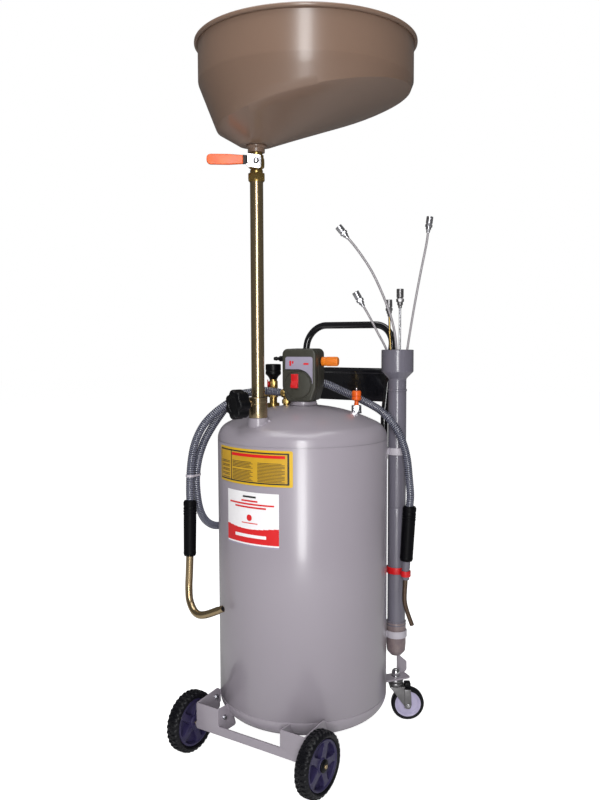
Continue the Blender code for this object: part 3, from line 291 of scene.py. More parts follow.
def piece(name, finish, body, parts, at=Matrix(), nodes=(), crease=35):
    """One visual piece from solids, riding on a CAD body and standing for CAD nodes."""
    mesh = bpy.data.meshes.new(name)
    scratch = bpy.data.meshes.new("scratch")
    whole = bmesh.new()
    for part in parts:
        bmesh.ops.recalc_face_normals(part, faces=part.faces)
        part.to_mesh(scratch)
        whole.from_mesh(scratch)
        part.free()
    whole.transform(Matrix.Translation(AXIS) @ at)
    whole.to_mesh(mesh)
    whole.free()
    bpy.data.meshes.remove(scratch)
    mesh.shade_smooth()
    mesh.set_sharp_from_angle(angle=math.radians(crease))
    mesh.materials.append(finish)
    obj = bpy.data.objects.new(name, mesh)
    bpy.context.scene.collection.objects.link(obj)
    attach(obj, body)
    if nodes:
        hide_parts(*nodes)
    return obj


# ---------------------------------------------------------------- materials

def finish(name, colour, roughness, metallic=0.0, vary=0.06, spot=0.05, grain=60.0, bump=0.02,
           bump_size=900.0, coat=0.0, coat_roughness=0.06, tint=None, tint_share=0.0,
           stretch=(1, 1, 1), specular=0.5):
    """A surface with mottled colour, uneven gloss and a fine texture."""
    made = bpy.data.materials.new(name)
    made.use_nodes = True
    nodes, links = made.node_tree.nodes, made.node_tree.links
    shader = nodes["Principled BSDF"]

    def node(kind, **values):
        added = nodes.new("ShaderNode" + kind)
        for key, value in values.items():
            added.inputs[key.replace("_", " ")].default_value = value
        return added

    for key, value in (("Metallic", metallic), ("Coat Weight", coat), ("Coat Roughness", coat_roughness),
                       ("Specular IOR Level", specular)):
        shader.inputs[key].default_value = value
    where = node("Mapping", Scale=stretch)
    links.new(nodes.new("ShaderNodeTexCoord").outputs["Object"], where.inputs["Vector"])
    broad = node("TexNoise", Scale=grain, Detail=5.0, Roughness=0.6)
    fine = node("TexNoise", Scale=bump_size, Detail=2.0)
    ramp = nodes.new("ShaderNodeValToRGB")
    mixed = [c + (t - c) * tint_share for c, t in zip(colour, tint or colour)]
    ends = ((0.3, [c * (1 - vary) for c in colour]), (0.7, [min(1.0, c * (1 + vary)) for c in mixed]))
    for element, (position, shade) in zip(ramp.color_ramp.elements, ends):
        element.position = position
        element.color = (*shade, 1)
    gloss = node("MapRange", To_Min=max(0.0, roughness - spot), To_Max=min(1.0, roughness + spot))
    relief = node("Bump", Strength=bump, Distance=0.001)
    for source, output, target, socket in (
            (where, "Vector", broad, "Vector"), (where, "Vector", fine, "Vector"),
            (broad, "Fac", ramp, "Fac"),
            (broad, "Fac", gloss, "Value"), (fine, "Fac", relief, "Height"),
            (ramp, "Color", shader, "Base Color"),
            (gloss, "Result", shader, "Roughness"), (relief, "Normal", shader, "Normal")):
        links.new(source.outputs[output], target.inputs[socket])
    return made


TANK_PAINT = finish("tank_paint", (0.345, 0.312, 0.355), 0.3, vary=0.012, spot=0.012, grain=5.0, bump=0.02,
                    bump_size=260.0, coat=0.35, coat_roughness=0.14)
PAN_PAINT = finish("pan_paint", (0.2, 0.128, 0.092), 0.3, vary=0.02, spot=0.02, grain=8.0, bump=0.02,
                   bump_size=260.0, coat=0.2, coat_roughness=0.15)
BLACK_PAINT = finish("gloss_black_paint", (0.006, 0.006, 0.008), 0.16, vary=0.2, spot=0.03, bump=0.02,
                     bump_size=350.0, coat=0.5, coat_roughness=0.05)
BLACK_PLASTIC = finish("black_plastic", (0.003, 0.003, 0.004), 0.36, vary=0.2, spot=0.05, bump=0.04,
                       bump_size=900.0, specular=0.18)
GRIP_RUBBER = finish("grip_rubber", (0.002, 0.002, 0.003), 0.42, vary=0.2, spot=0.05, bump=0.06,
                     bump_size=900.0, specular=0.1)
OLIVE_PLASTIC = finish("olive_plastic", (0.042, 0.041, 0.03), 0.42, vary=0.08, spot=0.04, bump=0.05,
                       bump_size=1000.0)
PVC_GREY = finish("pvc_grey", (0.15, 0.14, 0.172), 0.24, vary=0.05, spot=0.04, grain=30.0, bump=0.015,
                  stretch=(1, 1, 0.15), tint=(0.165, 0.16, 0.205), tint_share=0.5, coat=0.3)
WHITE_PLASTIC = finish("white_plastic", (0.5, 0.47, 0.52), 0.42, vary=0.04, bump=0.03)
CAP_PLASTIC = finish("cap_plastic", (0.17, 0.125, 0.14), 0.32, vary=0.08, bump=0.02, coat=0.2,
                     tint=(0.24, 0.19, 0.18), tint_share=0.8)
AMBER_PLASTIC = finish("amber_plastic", (0.86, 0.22, 0.012), 0.36, vary=0.06, bump=0.03)
RED_PLASTIC = finish("red_plastic", (0.62, 0.008, 0.012), 0.34, vary=0.08, bump=0.03)
ORANGE_PLASTIC = finish("orange_plastic", (0.84, 0.1, 0.008), 0.36, vary=0.06, bump=0.03,
                        tint=(0.88, 0.15, 0.01), tint_share=0.8)
YELLOW_ZINC = finish("yellow_zinc", (0.46, 0.34, 0.19), 0.24, metallic=0.95, vary=0.06, spot=0.03, grain=35.0,
                     stretch=(1, 1, 0.1), bump=0.01, bump_size=300.0, tint=(0.4, 0.32, 0.2), tint_share=0.8)
ZINC = finish("bright_zinc", (0.5, 0.5, 0.53), 0.26, metallic=0.95, vary=0.06, spot=0.04, bump=0.01)
DARK_ZINC = finish("dull_zinc", (0.22, 0.215, 0.22), 0.34, metallic=0.85, vary=0.1, spot=0.06, bump=0.015)
STEEL = finish("polished_steel", (0.66, 0.66, 0.68), 0.13, metallic=1.0, vary=0.05, spot=0.03, bump=0.008)
BRASS = finish("worn_brass", (0.4, 0.27, 0.09), 0.28, metallic=0.9, vary=0.12, spot=0.06, bump=0.02)
BRONZE = finish("dark_bronze", (0.12, 0.08, 0.055), 0.3, metallic=0.7, vary=0.12, spot=0.05, bump=0.015)
RUBBER = finish("tyre_rubber", (0.004, 0.004, 0.006), 0.38, vary=0.2, spot=0.06, bump=0.08, bump_size=700.0,
                specular=0.24)
HUB_PLASTIC = finish("purple_hub", (0.03, 0.024, 0.075), 0.34, vary=0.08, spot=0.04, bump=0.03,
                     bump_size=1000.0)
LILAC_PLASTIC = finish("lilac_hub", (0.5, 0.46, 0.64), 0.36, vary=0.05, bump=0.03)
LABEL_YELLOW = finish("label_yellow", (0.74, 0.46, 0.015), 0.35, vary=0.03, bump=0.005, coat=0.2)
LABEL_MUSTARD = finish("label_mustard", (0.64, 0.37, 0.02), 0.38, vary=0.05, bump=0.005, coat=0.2)
LABEL_WHITE = finish("label_white", (0.97, 0.95, 0.97), 0.38, vary=0.02, bump=0.005, coat=0.2)
LABEL_RED = finish("label_red", (0.72, 0.008, 0.012), 0.35, vary=0.04, bump=0.005, coat=0.2)
LABEL_BLACK = finish("label_black", (0.02, 0.02, 0.02), 0.35, vary=0.04, bump=0.005, coat=0.2)
LABEL_LILAC = finish("label_lilac", (0.36, 0.33, 0.43), 0.35, vary=0.03, bump=0.005, coat=0.2)
HOSE = finish("clear_hose_wall", (0.15, 0.155, 0.205), 0.12, vary=0.1, spot=0.04, grain=80.0, bump=0.01,
              coat=0.6,
              coat_roughness=0.06)
HOSE_RIB = finish("hose_spiral", (0.016, 0.018, 0.03), 0.2, vary=0.1, spot=0.04, grain=80.0, bump=0.01,
                  coat=0.6,
                  coat_roughness=0.06)
PALE_HOSE = finish("pale_tube", (0.33, 0.31, 0.33), 0.3, vary=0.05, bump=0.01, coat=0.3)


# ---------------------------------------------------------------- tank

def head_corners(steps=14):
    """Outside of a dished head as (radius, height over the seam), from its pole to its rim."""
    meeting = math.asin((TANK_R - KNUCKLE_R) / (CROWN_R - KNUCKLE_R))
    rise = CROWN_R - math.sqrt((CROWN_R - KNUCKLE_R) ** 2 - (TANK_R - KNUCKLE_R) ** 2)
    points = []
    for k in range(steps + 1):
        angle = meeting * k / steps
        points.append((CROWN_R * math.sin(angle), rise - CROWN_R + CROWN_R * math.cos(angle)))
    for k in range(1, steps + 1):
        angle = meeting + (math.pi / 2 - meeting) * k / steps
        points.append((TANK_R - KNUCKLE_R + KNUCKLE_R * math.sin(angle), KNUCKLE_R * math.cos(angle)))
    return points


def dome(x, y):
    """Height of the top head's crown over a point of the floor."""
    rise = CROWN_R - math.sqrt((CROWN_R - KNUCKLE_R) ** 2 - (TANK_R - KNUCKLE_R) ** 2)
    return SEAM_TOP + rise - CROWN_R + math.sqrt(CROWN_R ** 2 - x * x - y * y)


def weld_bead(radius, thick, ripples, at, sides=144):
    """A ring of weld with the ripples that the torch leaves."""
    rings = []
    for k in range(sides):
        angle = math.tau * k / sides
        swell = thick * (1 + 0.16 * math.sin(ripples * angle))
        rings.append([((radius + x) * math.cos(angle), (radius + x) * math.sin(angle), y)
                      for x, y, _ in ring_at(0, swell, 10)])
    return loft(rings, at, loop=True)


def make_tank():
    head = head_corners()
    groove = TANK_R - 0.0011
    top = [(r, SEAM_TOP + z) for r, z in head]
    joints = [(groove, SEAM_TOP - 0.0006), (groove, SEAM_TOP - 0.0018), (TANK_R, SEAM_TOP - 0.003),
              (TANK_R, SEAM_LOW + 0.003), (groove, SEAM_LOW + 0.0018), (groove, SEAM_LOW + 0.0006)]
    bottom = [(r, SEAM_LOW - z) for r, z in reversed(head)]
    piece("tank_skin", TANK_PAINT, "tank", [lathe(top + joints + bottom, 180)],
          nodes=("tank_shell", "top_head", "bottom_head"), crease=50)
    low, high = span("drain_socket")
    bore = POST_R + 0.003
    socket = lathe([(bore, low), (0.0235, low), (0.0235, high, 0.0012), (bore, high)])
    lug = box((0.018, -0.006, dome(POST.x + 0.02, POST.y) - 0.003), (0.029, 0.006, high - 0.004),
              place(rz=math.radians(25)), 0.001)
    foot = [Vector((x, y, dome(POST.x + x, POST.y + y) + 0.0004)) for x, y, _ in ring_at(0, 0.0238, 72)]
    bead = sweep(foot + foot[:1], lambda distance, turn: 0.0014 + 0.0002 * math.sin(distance / 0.0006), 12)
    piece("drain_socket_skin", TANK_PAINT, "tank", [socket, lug, bead], place(POST.x, POST.y),
          ("drain_socket",))


def patch(a0, a1, z0, z1, lift, corner=0.004):
    """A thin label curved round the tank between two angles (degrees) and heights."""
    radius = TANK_R + lift
    wide, slices, thick = radius * math.radians(a1 - a0), 24, 0.00025
    bm = bmesh.new()
    bm.faces.new([bm.verts.new((x, z, 0)) for x, z in panel((0, z0), (wide, z1), corner, 4)])
    for k in range(1, slices):
        geom = list(bm.verts) + list(bm.edges) + list(bm.faces)
        bmesh.ops.bisect_plane(bm, geom=geom, plane_co=(wide * k / slices, 0, 0), plane_no=(1, 0, 0))
    made = bmesh.ops.extrude_face_region(bm, geom=list(bm.faces))
    raised = [item for item in made["geom"] if isinstance(item, bmesh.types.BMVert)]
    bmesh.ops.translate(bm, verts=raised, vec=(0, 0, thick))
    for vert in bm.verts:
        angle = math.radians(a0) + vert.co.x / radius
        reach = radius + vert.co.z
        vert.co = (reach * math.cos(angle), reach * math.sin(angle), vert.co.y)
    return bm


def label(name, look, patches):
    piece(name, look, "tank", patches)


def make_labels():
    """Two plain coloured labels; rules and bars stand where print would be."""
    left, right, low, high = -123.2, -61.2, 0.6475, 0.7265
    divider, bar, step = -107.6, 0.0011, 0.0031
    label("label_top_edge", LABEL_YELLOW, [patch(left, right, low, high, 0.0002)])
    rules = [patch(left + 1.3, right - 2.2, low + 0.0048, high - 0.005, 0.0005, 0.0012),
             patch(divider, divider + 0.7, low + 0.0075, high - 0.008, 0.0013, 0.0002)]
    for row in range(14):
        columns = [(-84.5, -66.2 - 2.0 * (row % 4 == 1))]
        if row != 8:
            columns.append((divider + 1.8, -88.0 - 1.2 * (row % 3)))
        if row % 3 != 1:
            columns.append((left + 4.2, divider - 1.6))
        z = low + 0.0098 + step * row
        rules += [patch(start, end, z, z + bar, 0.0013, 0.0003) for start, end in columns]
    label("label_top_rules", LABEL_BLACK, rules)
    label("label_top_field", LABEL_MUSTARD,
          [patch(left + 2.5, right - 3.4, low + 0.0078, high - 0.008, 0.0009, 0.0008)])
    label("label_top_flash", LABEL_RED,
          [patch(divider + 1.0, right - 4.8, high - 0.017, high - 0.0105, 0.0013, 0.0004)])

    left, right, low, high = -112.2, -70.1, 0.511, 0.632
    middle = (left + right) / 2
    label("label_low_field", LABEL_WHITE, [patch(left, right, low + 0.004, high, 0.0002, 0.0008)])
    label("label_low_strip", LABEL_LILAC, [patch(left, right, low, low + 0.0085, 0.0001, 0.0008)])
    label("label_low_foot", LABEL_RED, [patch(left, right, low + 0.0075, low + 0.044, 0.0005, 0.0004)])
    sag, steps = [], 12
    for k in range(steps):
        drop = 0.0058 * math.sin(math.pi * min(1.0, (k + 0.5) / steps * 1.05))
        start = left + (right - left) * k / steps + 0.05
        sag.append(patch(start, start + (right - left) / steps, low + 0.0445 - drop, low + 0.0465, 0.0006,
                         0.0001))
    label("label_low_sweep", LABEL_WHITE, sag)

    def bar_at(half, down, tall, corner):
        return patch(middle - half, middle + half, high - down, high - down + tall, 0.0006, corner)

    label("label_low_title", LABEL_BLACK, [bar_at(5.2, 0.0125, 0.004, 0.0004)])
    marks = [bar_at(half, down, 0.0036, 0.0004) for half,
             down in ((6.5, 0.0215), (18.0, 0.0285), (12.5, 0.0355))]
    marks += [bar_at(2.0, 0.064, 0.014, 0.006), bar_at(6.4, 0.07, 0.002, 0.0009)]
    label("label_low_bars", LABEL_RED, marks)
    label("label_low_plate", LABEL_WHITE,
          [patch(middle - 12.5, middle + 12.5, low + 0.02, low + 0.027, 0.0008, 0.0012)])


# ---------------------------------------------------------------- drain post

def make_guide():
    at = place(POST.x, POST.y)
    low, high = span("guide_sleeve")
    bore, wall, groove = POST_R + 0.0032, 0.0209, 0.0203
    sleeve = lathe([
        (bore, low), (wall, low, 0.0006), (wall, high - 0.0155, 0.0005), (groove, high - 0.015),
        (groove, high - 0.012), (wall, high - 0.0115, 0.0005), (wall, high, 0.0014), (bore, high, 0.0008),
    ])
    away = Vector((math.sin(CLAMP_YAW), -math.cos(CLAMP_YAW), 0))
    clamp_z = centre("star_knob").z
    boss = lathe([(0, 0.0185), (0.0075, 0.0185), (0.0075, 0.0275, 0.0008), (0.0046, 0.0275), (0.0046, 0.026),
                  (0, 0.026)], 40, along((0, 0, clamp_z), away))
    piece("guide_sleeve_skin", YELLOW_ZINC, "tank", [sleeve, boss], at, ("guide_sleeve",))
    low, high = span("post_bush")
    inner, outer, high = POST_R + 0.0003, POST_R + 0.0029, high + 0.0004
    bush = lathe([(inner, low), (outer, low), (outer, high, 0.0004), (inner, high, 0.0004)])
    piece("post_bush_skin", BLACK_PLASTIC, "tank", [bush], at, ("post_bush",))

    radius, lobes = 0.0312, 7

    def lobed(angle, share, lobing):
        wave = math.cos(lobes * angle)
        return radius * share * (1 + 0.085 * lobing * (wave - 0.25 * (wave * wave - 0.5)))

    profile = [
        (0.3, -0.0265, 0), (0.34, -0.0255, 0), (0.37, -0.021, 0), (0.84, -0.021, 1), (0.94, -0.02, 1),
        (0.99, -0.0175, 1), (1.0, -0.015, 1), (1.0, 0.003, 1), (0.985, 0.0055, 1), (0.94, 0.0076, 1),
        (0.86, 0.0088, 1), (0.62, 0.0093, 0.4), (0.56, 0.0089, 0), (0.52, 0.007, 0), (0.3, 0.0066, 0),
        (0.08, 0.0066, 0),
    ]
    star = loft([ring_at(z, lambda angle: lobed(angle, share, lobing), 140) for share, z, lobing in profile])
    reach = Vector((POST.x, POST.y, 0)) + 0.058 * away
    knob_at = place(reach.x, reach.y, clamp_z, rx=math.pi / 2, rz=CLAMP_YAW)
    piece("star_knob_skin", BLACK_PLASTIC, "clamp", [star], knob_at, ("star_knob",))
    pitch = 0.00125
    thread = sweep([Vector((0, 0, -0.0395 + 0.0005 * k)) for k in range(54)],
                   lambda distance, turn: 0.004 + 0.00028 * math.sin(math.tau * distance / pitch + turn), 24)
    piece("clamp_screw", ZINC, "clamp", [thread], knob_at)


def make_post():
    low, high = span("drain_tube")
    bore = POST_R - 0.002
    tube = lathe([(bore, low, 0.0003), (POST_R, low, 0.0006), (POST_R, high, 0.0004), (bore, high, 0.0003)],
                 96)
    piece("drain_tube_skin", YELLOW_ZINC, "post", [tube], place(POST.x, POST.y),
          ("drain_tube",),
          crease=50)
    low, high = span("union_nut")
    inner = POST_R + 0.0003
    collar = lathe([(inner, low - 0.002), (0.0165, low - 0.002, 0.0006), (0.0165, low + 0.001),
                    (inner, low + 0.001)])
    piece("union_nut_skin", BRASS, "post", [hexagon(0.0355, low, high), collar], PAN_AT,
          ("union_nut",))


def make_valve():
    low, high = span("valve_body")
    body = lathe([
        (0.0082, low), (0.014, low, 0.0004), (0.0142, low + 0.0065, 0.0005), (0.0128, low + 0.0072),
        (0.0128, low + 0.0095), (0.0172, low + 0.0125, 0.002), (0.0176, low + 0.022, 0.004),
        (0.0172, low + 0.0315, 0.002), (0.0132, low + 0.0345), (0.0132, high), (0.0082, high),
    ], 72)
    wrench = hexagon(0.0315, low + 0.0265, low + 0.0385)
    stem = lathe([
        (0, 0.013), (0.0085, 0.013), (0.0085, 0.0185, 0.0006), (0.0068, 0.019), (0.0068, 0.02, 0.0003),
        (0.004, 0.02), (0.004, 0.018), (0, 0.018),
    ], 36, place(0, 0, VALVE_Z) @ FRONT)
    piece("valve_body_skin", BRASS, "pan", [body, wrench, stem], PAN_AT, ("valve_body",))
    at = place(POST.x, POST.y, VALVE_Z, rx=math.pi / 2, rz=POST_YAW)
    tip = -0.106
    plate = prism(rounded([
        (-0.0175, -0.012, 0.003), (0.0105, -0.0165, 0.005), (0.0115, 0.0125, 0.005), (-0.0175, 0.0155, 0.004),
        (-0.024, 0.0105, 0.002), (tip + 0.004, 0.01, 0.003), (tip + 0.004, -0.005, 0.003),
        (-0.024, -0.0055, 0.002),
    ]), 0.0022, place(0, 0, 0.0274), 0.0005)
    piece("valve_lever_skin", ZINC, "lever", [plate, peg(0.008, 0.0205, 0.0296, 0.0004)], at,
          ("valve_lever", "valve_ball"))
    piece("lever_nut", BLACK_PLASTIC, "lever", [hexagon(0.011, 0.0296, 0.0342)], at)
    piece("lever_bolt", STEEL, "lever", [peg(0.0031, 0.033, 0.0358, 0.0007, 24)], at)
    neck = prism(rounded([
        (-0.018, -0.0062, 0.002), (-0.018, 0.0112, 0.002), (-0.029, 0.0122, 0.001), (-0.029, -0.0072, 0.001),
    ]), 0.0076, place(0, 0, 0.0247), 0.0015)
    piece("lever_neck", BLACK_PLASTIC, "lever", [neck], at)
    sleeve = prism(rounded([
        (-0.0275, -0.0068, 0.002), (-0.0275, 0.0115, 0.002), (-0.06, 0.0138, 0.02), (tip, 0.0142, 0.009),
        (tip, -0.0078, 0.009), (-0.06, -0.0085, 0.02),
    ], 8), 0.009, place(0, 0, 0.024), 0.0036, 5)
    piece("lever_grip_skin", ORANGE_PLASTIC, "lever", [sleeve], at, ("lever_grip",))
    low, high = span("pan_socket")
    socket = lathe([(0.0132, low), (0.0186, low, 0.0008), (0.0186, low + 0.0085),
                    (0.0226, high - 0.003, 0.001),
                    (0.023, high, 0.0006), (0.0132, high)])
    piece("pan_socket_skin", PAN_PAINT, "pan", [socket], PAN_AT, ("pan_socket",))


def make_pan():
    """Same rim, crease, sloping floor edge and sump as the CAD bowl, at a finer mesh."""
    offset, pan_r, rim_r, crease_z, floor_z = 0.1083, 0.2323, 0.24, 1.5132, 1.454
    slope, taper, sheet = 0.195, 0.393, 0.0016
    sump_z, rim_z = span("pan_bowl")
    sump_r, seat_r, hole_r = 0.0375, 0.025, 0.013
    sides = 192

    def level(radius, z):
        return [(offset + x, y, z) for x, y, _ in ring_at(z, radius, sides)]

    def drain(radius, z):
        return ring_at(z, radius, sides)

    def edge(inset):
        """The sloping crease between wall and floor, moved in by the sheet's thickness."""
        points = []
        for k in range(sides):
            angle = math.tau * k / sides
            lean = slope * math.cos(angle)
            radius = (pan_r - (crease_z - floor_z) * taper) / (1 - lean * taper)
            reach = radius - inset
            points.append((offset + reach * math.cos(angle), reach * math.sin(angle),
                           floor_z + lean * radius + inset))
        return points

    def between(first, second, shares):
        return [[tuple(p + (q - p) * share for p, q in zip(one, two)) for one, two in zip(first, second)]
                for share in shares]

    outer_edge, inner_edge = edge(0.0), edge(sheet)
    outer_sump, inner_sump = drain(sump_r, sump_z), drain(sump_r - sheet, sump_z + sheet)
    bead_r = 0.0046
    lip = [(pan_r + 0.0034 + bead_r * math.cos(a), rim_z - bead_r + bead_r * math.sin(a))
           for a in [math.radians(170 - 28 * k) for k in range(12)]]
    rings = [level(pan_r - sheet, rim_z - 0.006)]
    rings += [level(min(r, rim_r), min(z, rim_z)) for r, z in lip]
    rings += [level(pan_r, rim_z - 0.0105), level(pan_r, crease_z + 0.004),
              level(pan_r - 0.0003, crease_z + 0.001)]
    rings += between(level(pan_r, crease_z), outer_edge, (0.03, 0.35, 0.7, 0.96))
    rings += between(outer_edge, outer_sump, (0.02, 0.25, 0.5, 0.75, 0.985))
    rings += [outer_sump, drain(seat_r, sump_z), drain(hole_r, sump_z), drain(hole_r, sump_z + sheet),
              drain(seat_r, sump_z + sheet), inner_sump]
    rings += between(inner_sump, inner_edge, (0.015, 0.25, 0.5, 0.75, 0.98))
    rings += between(inner_edge, level(pan_r - sheet, crease_z + sheet / 2), (0.04, 0.5, 0.97))
    rings += [level(pan_r - sheet, crease_z + 0.006)]
    piece("pan_bowl_skin", PAN_PAINT, "pan", [loft(rings, loop=True)], PAN_AT, ("pan_bowl",),
          crease=32)
    inner, outer, low, high = hole_r + 0.001, sump_r - 0.006, sump_z + sheet, sump_z + sheet + 0.0012
    washer = lathe([(inner, low), (outer, low), (outer, high, 0.0004), (inner, high, 0.0004)])
    piece("sump_washer", ZINC, "pan", [washer], PAN_AT)


# ---------------------------------------------------------------- suction head

def make_suction_head():
    low, high = span("head_socket")
    collar = lathe([(0.015, low - 0.001), (0.031, low - 0.001), (0.031, high, 0.001), (0.0285, high),
                    (0.0285, high + 0.002), (0.015, high + 0.002)])
    bead = weld_bead(0.0314, 0.0016, 60, place(0, 0, low + 0.0004))
    piece("head_socket_skin", TANK_PAINT, "tank", [collar, bead], place(HEAD.x, HEAD.y),
          ("head_socket",))
    low, high = span("head_housing")
    half = 0.041
    shape = rounded([
        (-0.03, low, 0.008), (-half, low + 0.034, 0.024), (-half, high, 0.013), (half, high, 0.013),
        (half, low + 0.034, 0.024), (0.03, low, 0.008),
    ], 8)
    cover = prism(shape, 0.0215, HEAD_AT @ place(0, -0.015) @ FRONT, 0.0045, 5)
    seam = prism([(x * 0.975, low + 0.0015 + (z - low) * 0.975) for x, z in shape], 0.004,
                 HEAD_AT @ place(0, -0.0125) @ FRONT)
    back = prism(shape, 0.05, HEAD_AT @ place(0, 0.0365) @ FRONT, 0.0045, 5)
    ribs = [box((-0.03 + 0.012 * k, 0.0355, low + 0.04), (-0.0265 + 0.012 * k, 0.0378, high - 0.014), HEAD_AT)
            for k in range(6)]
    base = lathe([(0, low - 0.002), (0.029, low - 0.002), (0.031, low + 0.006, 0.002), (0.031, low + 0.012),
                  (0, low + 0.012)], 72, HEAD_AT)
    piece("head_shell", OLIVE_PLASTIC, "tank", [cover, seam, back, base] + ribs,
          nodes=("head_housing", "head_cover"))
    barb_end = Vector(SUCTION_ROUTE[0])
    barb = lathe([(0, -0.036), (0.0098, -0.036), (0.0098, -0.012, 0.001), (0.0068, -0.0115),
                  (0.0068, -0.0006),
                  (0, -0.0006)], 36, along(barb_end, Vector(SUCTION_ROUTE[1]) - barb_end))
    outlet = lathe([(0, -0.006), (0.009, -0.006), (0.009, 0.006, 0.001), (0.0066, 0.0065),
                    (0.0066, 0.014, 0.0008),
                    (0, 0.014)], 36, HEAD_AT @ place(-half, 0.0015, 0.838, ry=-math.pi / 2))
    piece("head_barbs", DARK_ZINC, "tank", [barb, outlet])
    make_head_face(high)
    make_head_controls(half)


def make_head_face(high):
    """The round control plate, the pale label above it and the black line of painted shade in the groove between
    them.
    """
    face = HEAD_AT @ place(0, -0.0363) @ FRONT
    disc_x, disc_z, disc_r = -0.003, 0.8595, 0.034
    at = face @ place(disc_x, disc_z)
    rim = lathe([(disc_r - 0.0022, -0.0005), (disc_r, -0.0005), (disc_r, 0.0016, 0.0006),
                 (disc_r - 0.001, 0.0024, 0.0005), (disc_r - 0.0022, 0.001, 0.0005)], 96, at)
    disc = lathe([(0, -0.0005), (disc_r - 0.003, -0.0005), (disc_r - 0.0034, 0.0012, 0.0008), (0, 0.002)],
                 96, at)
    piece("head_disc", OLIVE_PLASTIC, "tank", [rim, disc])
    top, left, right, reach = high - 0.0185, -0.0325, 0.0335, disc_r + 0.0012
    arc = []
    for k in range(25):
        angle = math.radians(2 + 82 * k / 24)
        arc.append((disc_x + reach * math.cos(angle), disc_z + reach * math.sin(angle), 0))
    corners = [(left, disc_z + reach, 0.0015), (left, top, 0.005), (right, top, 0.005),
               (right, disc_z + 0.001, 0.001)]
    piece("head_label", LABEL_LILAC, "tank",
          [prism(rounded(corners + arc[1:], 6), 0.0006, face, 0.0002)])
    # Painted shade: a thin black bead along the groove between the label and the plate's rim stands for the
    # groove's dark.
    groove = arc[2:] + [(left, disc_z + reach, 0)]
    piece("head_label_groove_shade", LABEL_BLACK, "tank",
          [sweep([face @ Vector((x, z, 0.0004)) for x, z, _ in groove], 0.0013, 12)])
    marks = []
    for x, z, wide, tall in ((-0.0225, 0.9035, 0.0042, 0.012), (-0.0165, 0.9085, 0.004, 0.006),
                             (0.0115, 0.906, 0.0125, 0.0042)):
        marks.append(prism(panel((x, z), (x + wide, z + tall), 0.0008, 3), 0.0003,
                           face @ place(0, 0, 0.0005)))
    piece("head_label_marks", LABEL_RED, "tank", marks)


def make_head_controls(half):
    """Rocker switch on the front, ridged air knob on one side and air nipple on the other."""
    rocker_z = centre("rocker_switch").z
    bezel = prism(panel((-0.0108, -0.0185), (0.0108, 0.0185), 0.003), 0.0042,
                  HEAD_AT @ place(ROCKER_X, -0.0365, rocker_z) @ FRONT, 0.0008)
    piece("rocker_bezel", OLIVE_PLASTIC, "tank", [bezel])
    side = [(-0.0165, 0.0), (-0.0165, 0.0125), (-0.01, 0.0135), (0.001, 0.0072), (0.0165, 0.009),
            (0.0165, 0.0)]
    upright = Matrix(((0, 0, 1, 0), (0, -1, 0, 0), (1, 0, 0, 0), (0, 0, 0, 1)))
    key = prism(rounded([(z, out, 0.0015 if out > 0 else 0.0) for z, out in side], 5), 0.0176,
                HEAD_AT @ place(ROCKER_X - 0.0088, -0.0345, rocker_z) @ upright, 0.0014, 4)
    piece("rocker_key", RED_PLASTIC, "switch", [key], nodes=("rocker_switch",))

    knob_at = HEAD_AT @ place(half, 0.004, 0.913, ry=math.pi / 2)
    ridges = 20
    profile = [
        (0.008, 0.003, 0), (0.0102, 0.0036, 0), (0.0107, 0.005, 0), (0.0107, 0.012, 0), (0.0101, 0.0125, 0),
        (0.0101, 0.014, 0), (0.0104, 0.0146, 0.0004), (0.0106, 0.016, 0.0005), (0.0106, 0.0395, 0.0005),
        (0.0102, 0.0418, 0.0003), (0.009, 0.043, 0), (0.002, 0.043, 0),
    ]
    knob = loft([ring_at(z, lambda angle: radius + depth * math.cos(ridges * angle), 120)
                 for radius, z, depth in profile])
    piece("air_knob_skin", AMBER_PLASTIC, "air_knob", [knob], knob_at, ("air_knob",))
    piece("air_knob_root", BLACK_PLASTIC, "tank",
          [peg(0.0098, -0.0005, 0.0026, 0.0006, 48)], knob_at)
    nipple = lathe([
        (0, 0.0325), (0.004, 0.0325, 0.0006), (0.004, 0.029), (0.0052, 0.027, 0.0006), (0.004, 0.0245),
        (0.004, 0.0185), (0.0066, 0.018, 0.0006), (0.0066, 0.011, 0.0006), (0.0058, 0.0105), (0.0058, 0.009),
        (0.0078, 0.0085, 0.0008), (0.0078, 0.0), (0, 0.0),
    ], 48)
    piece("air_nipple_skin", BLACK_PLASTIC, "tank", [nipple],
          HEAD_AT @ place(-half, 0.0, 0.919, ry=-math.pi / 2), ("air_nipple",))


# ---------------------------------------------------------------- fittings on the dome

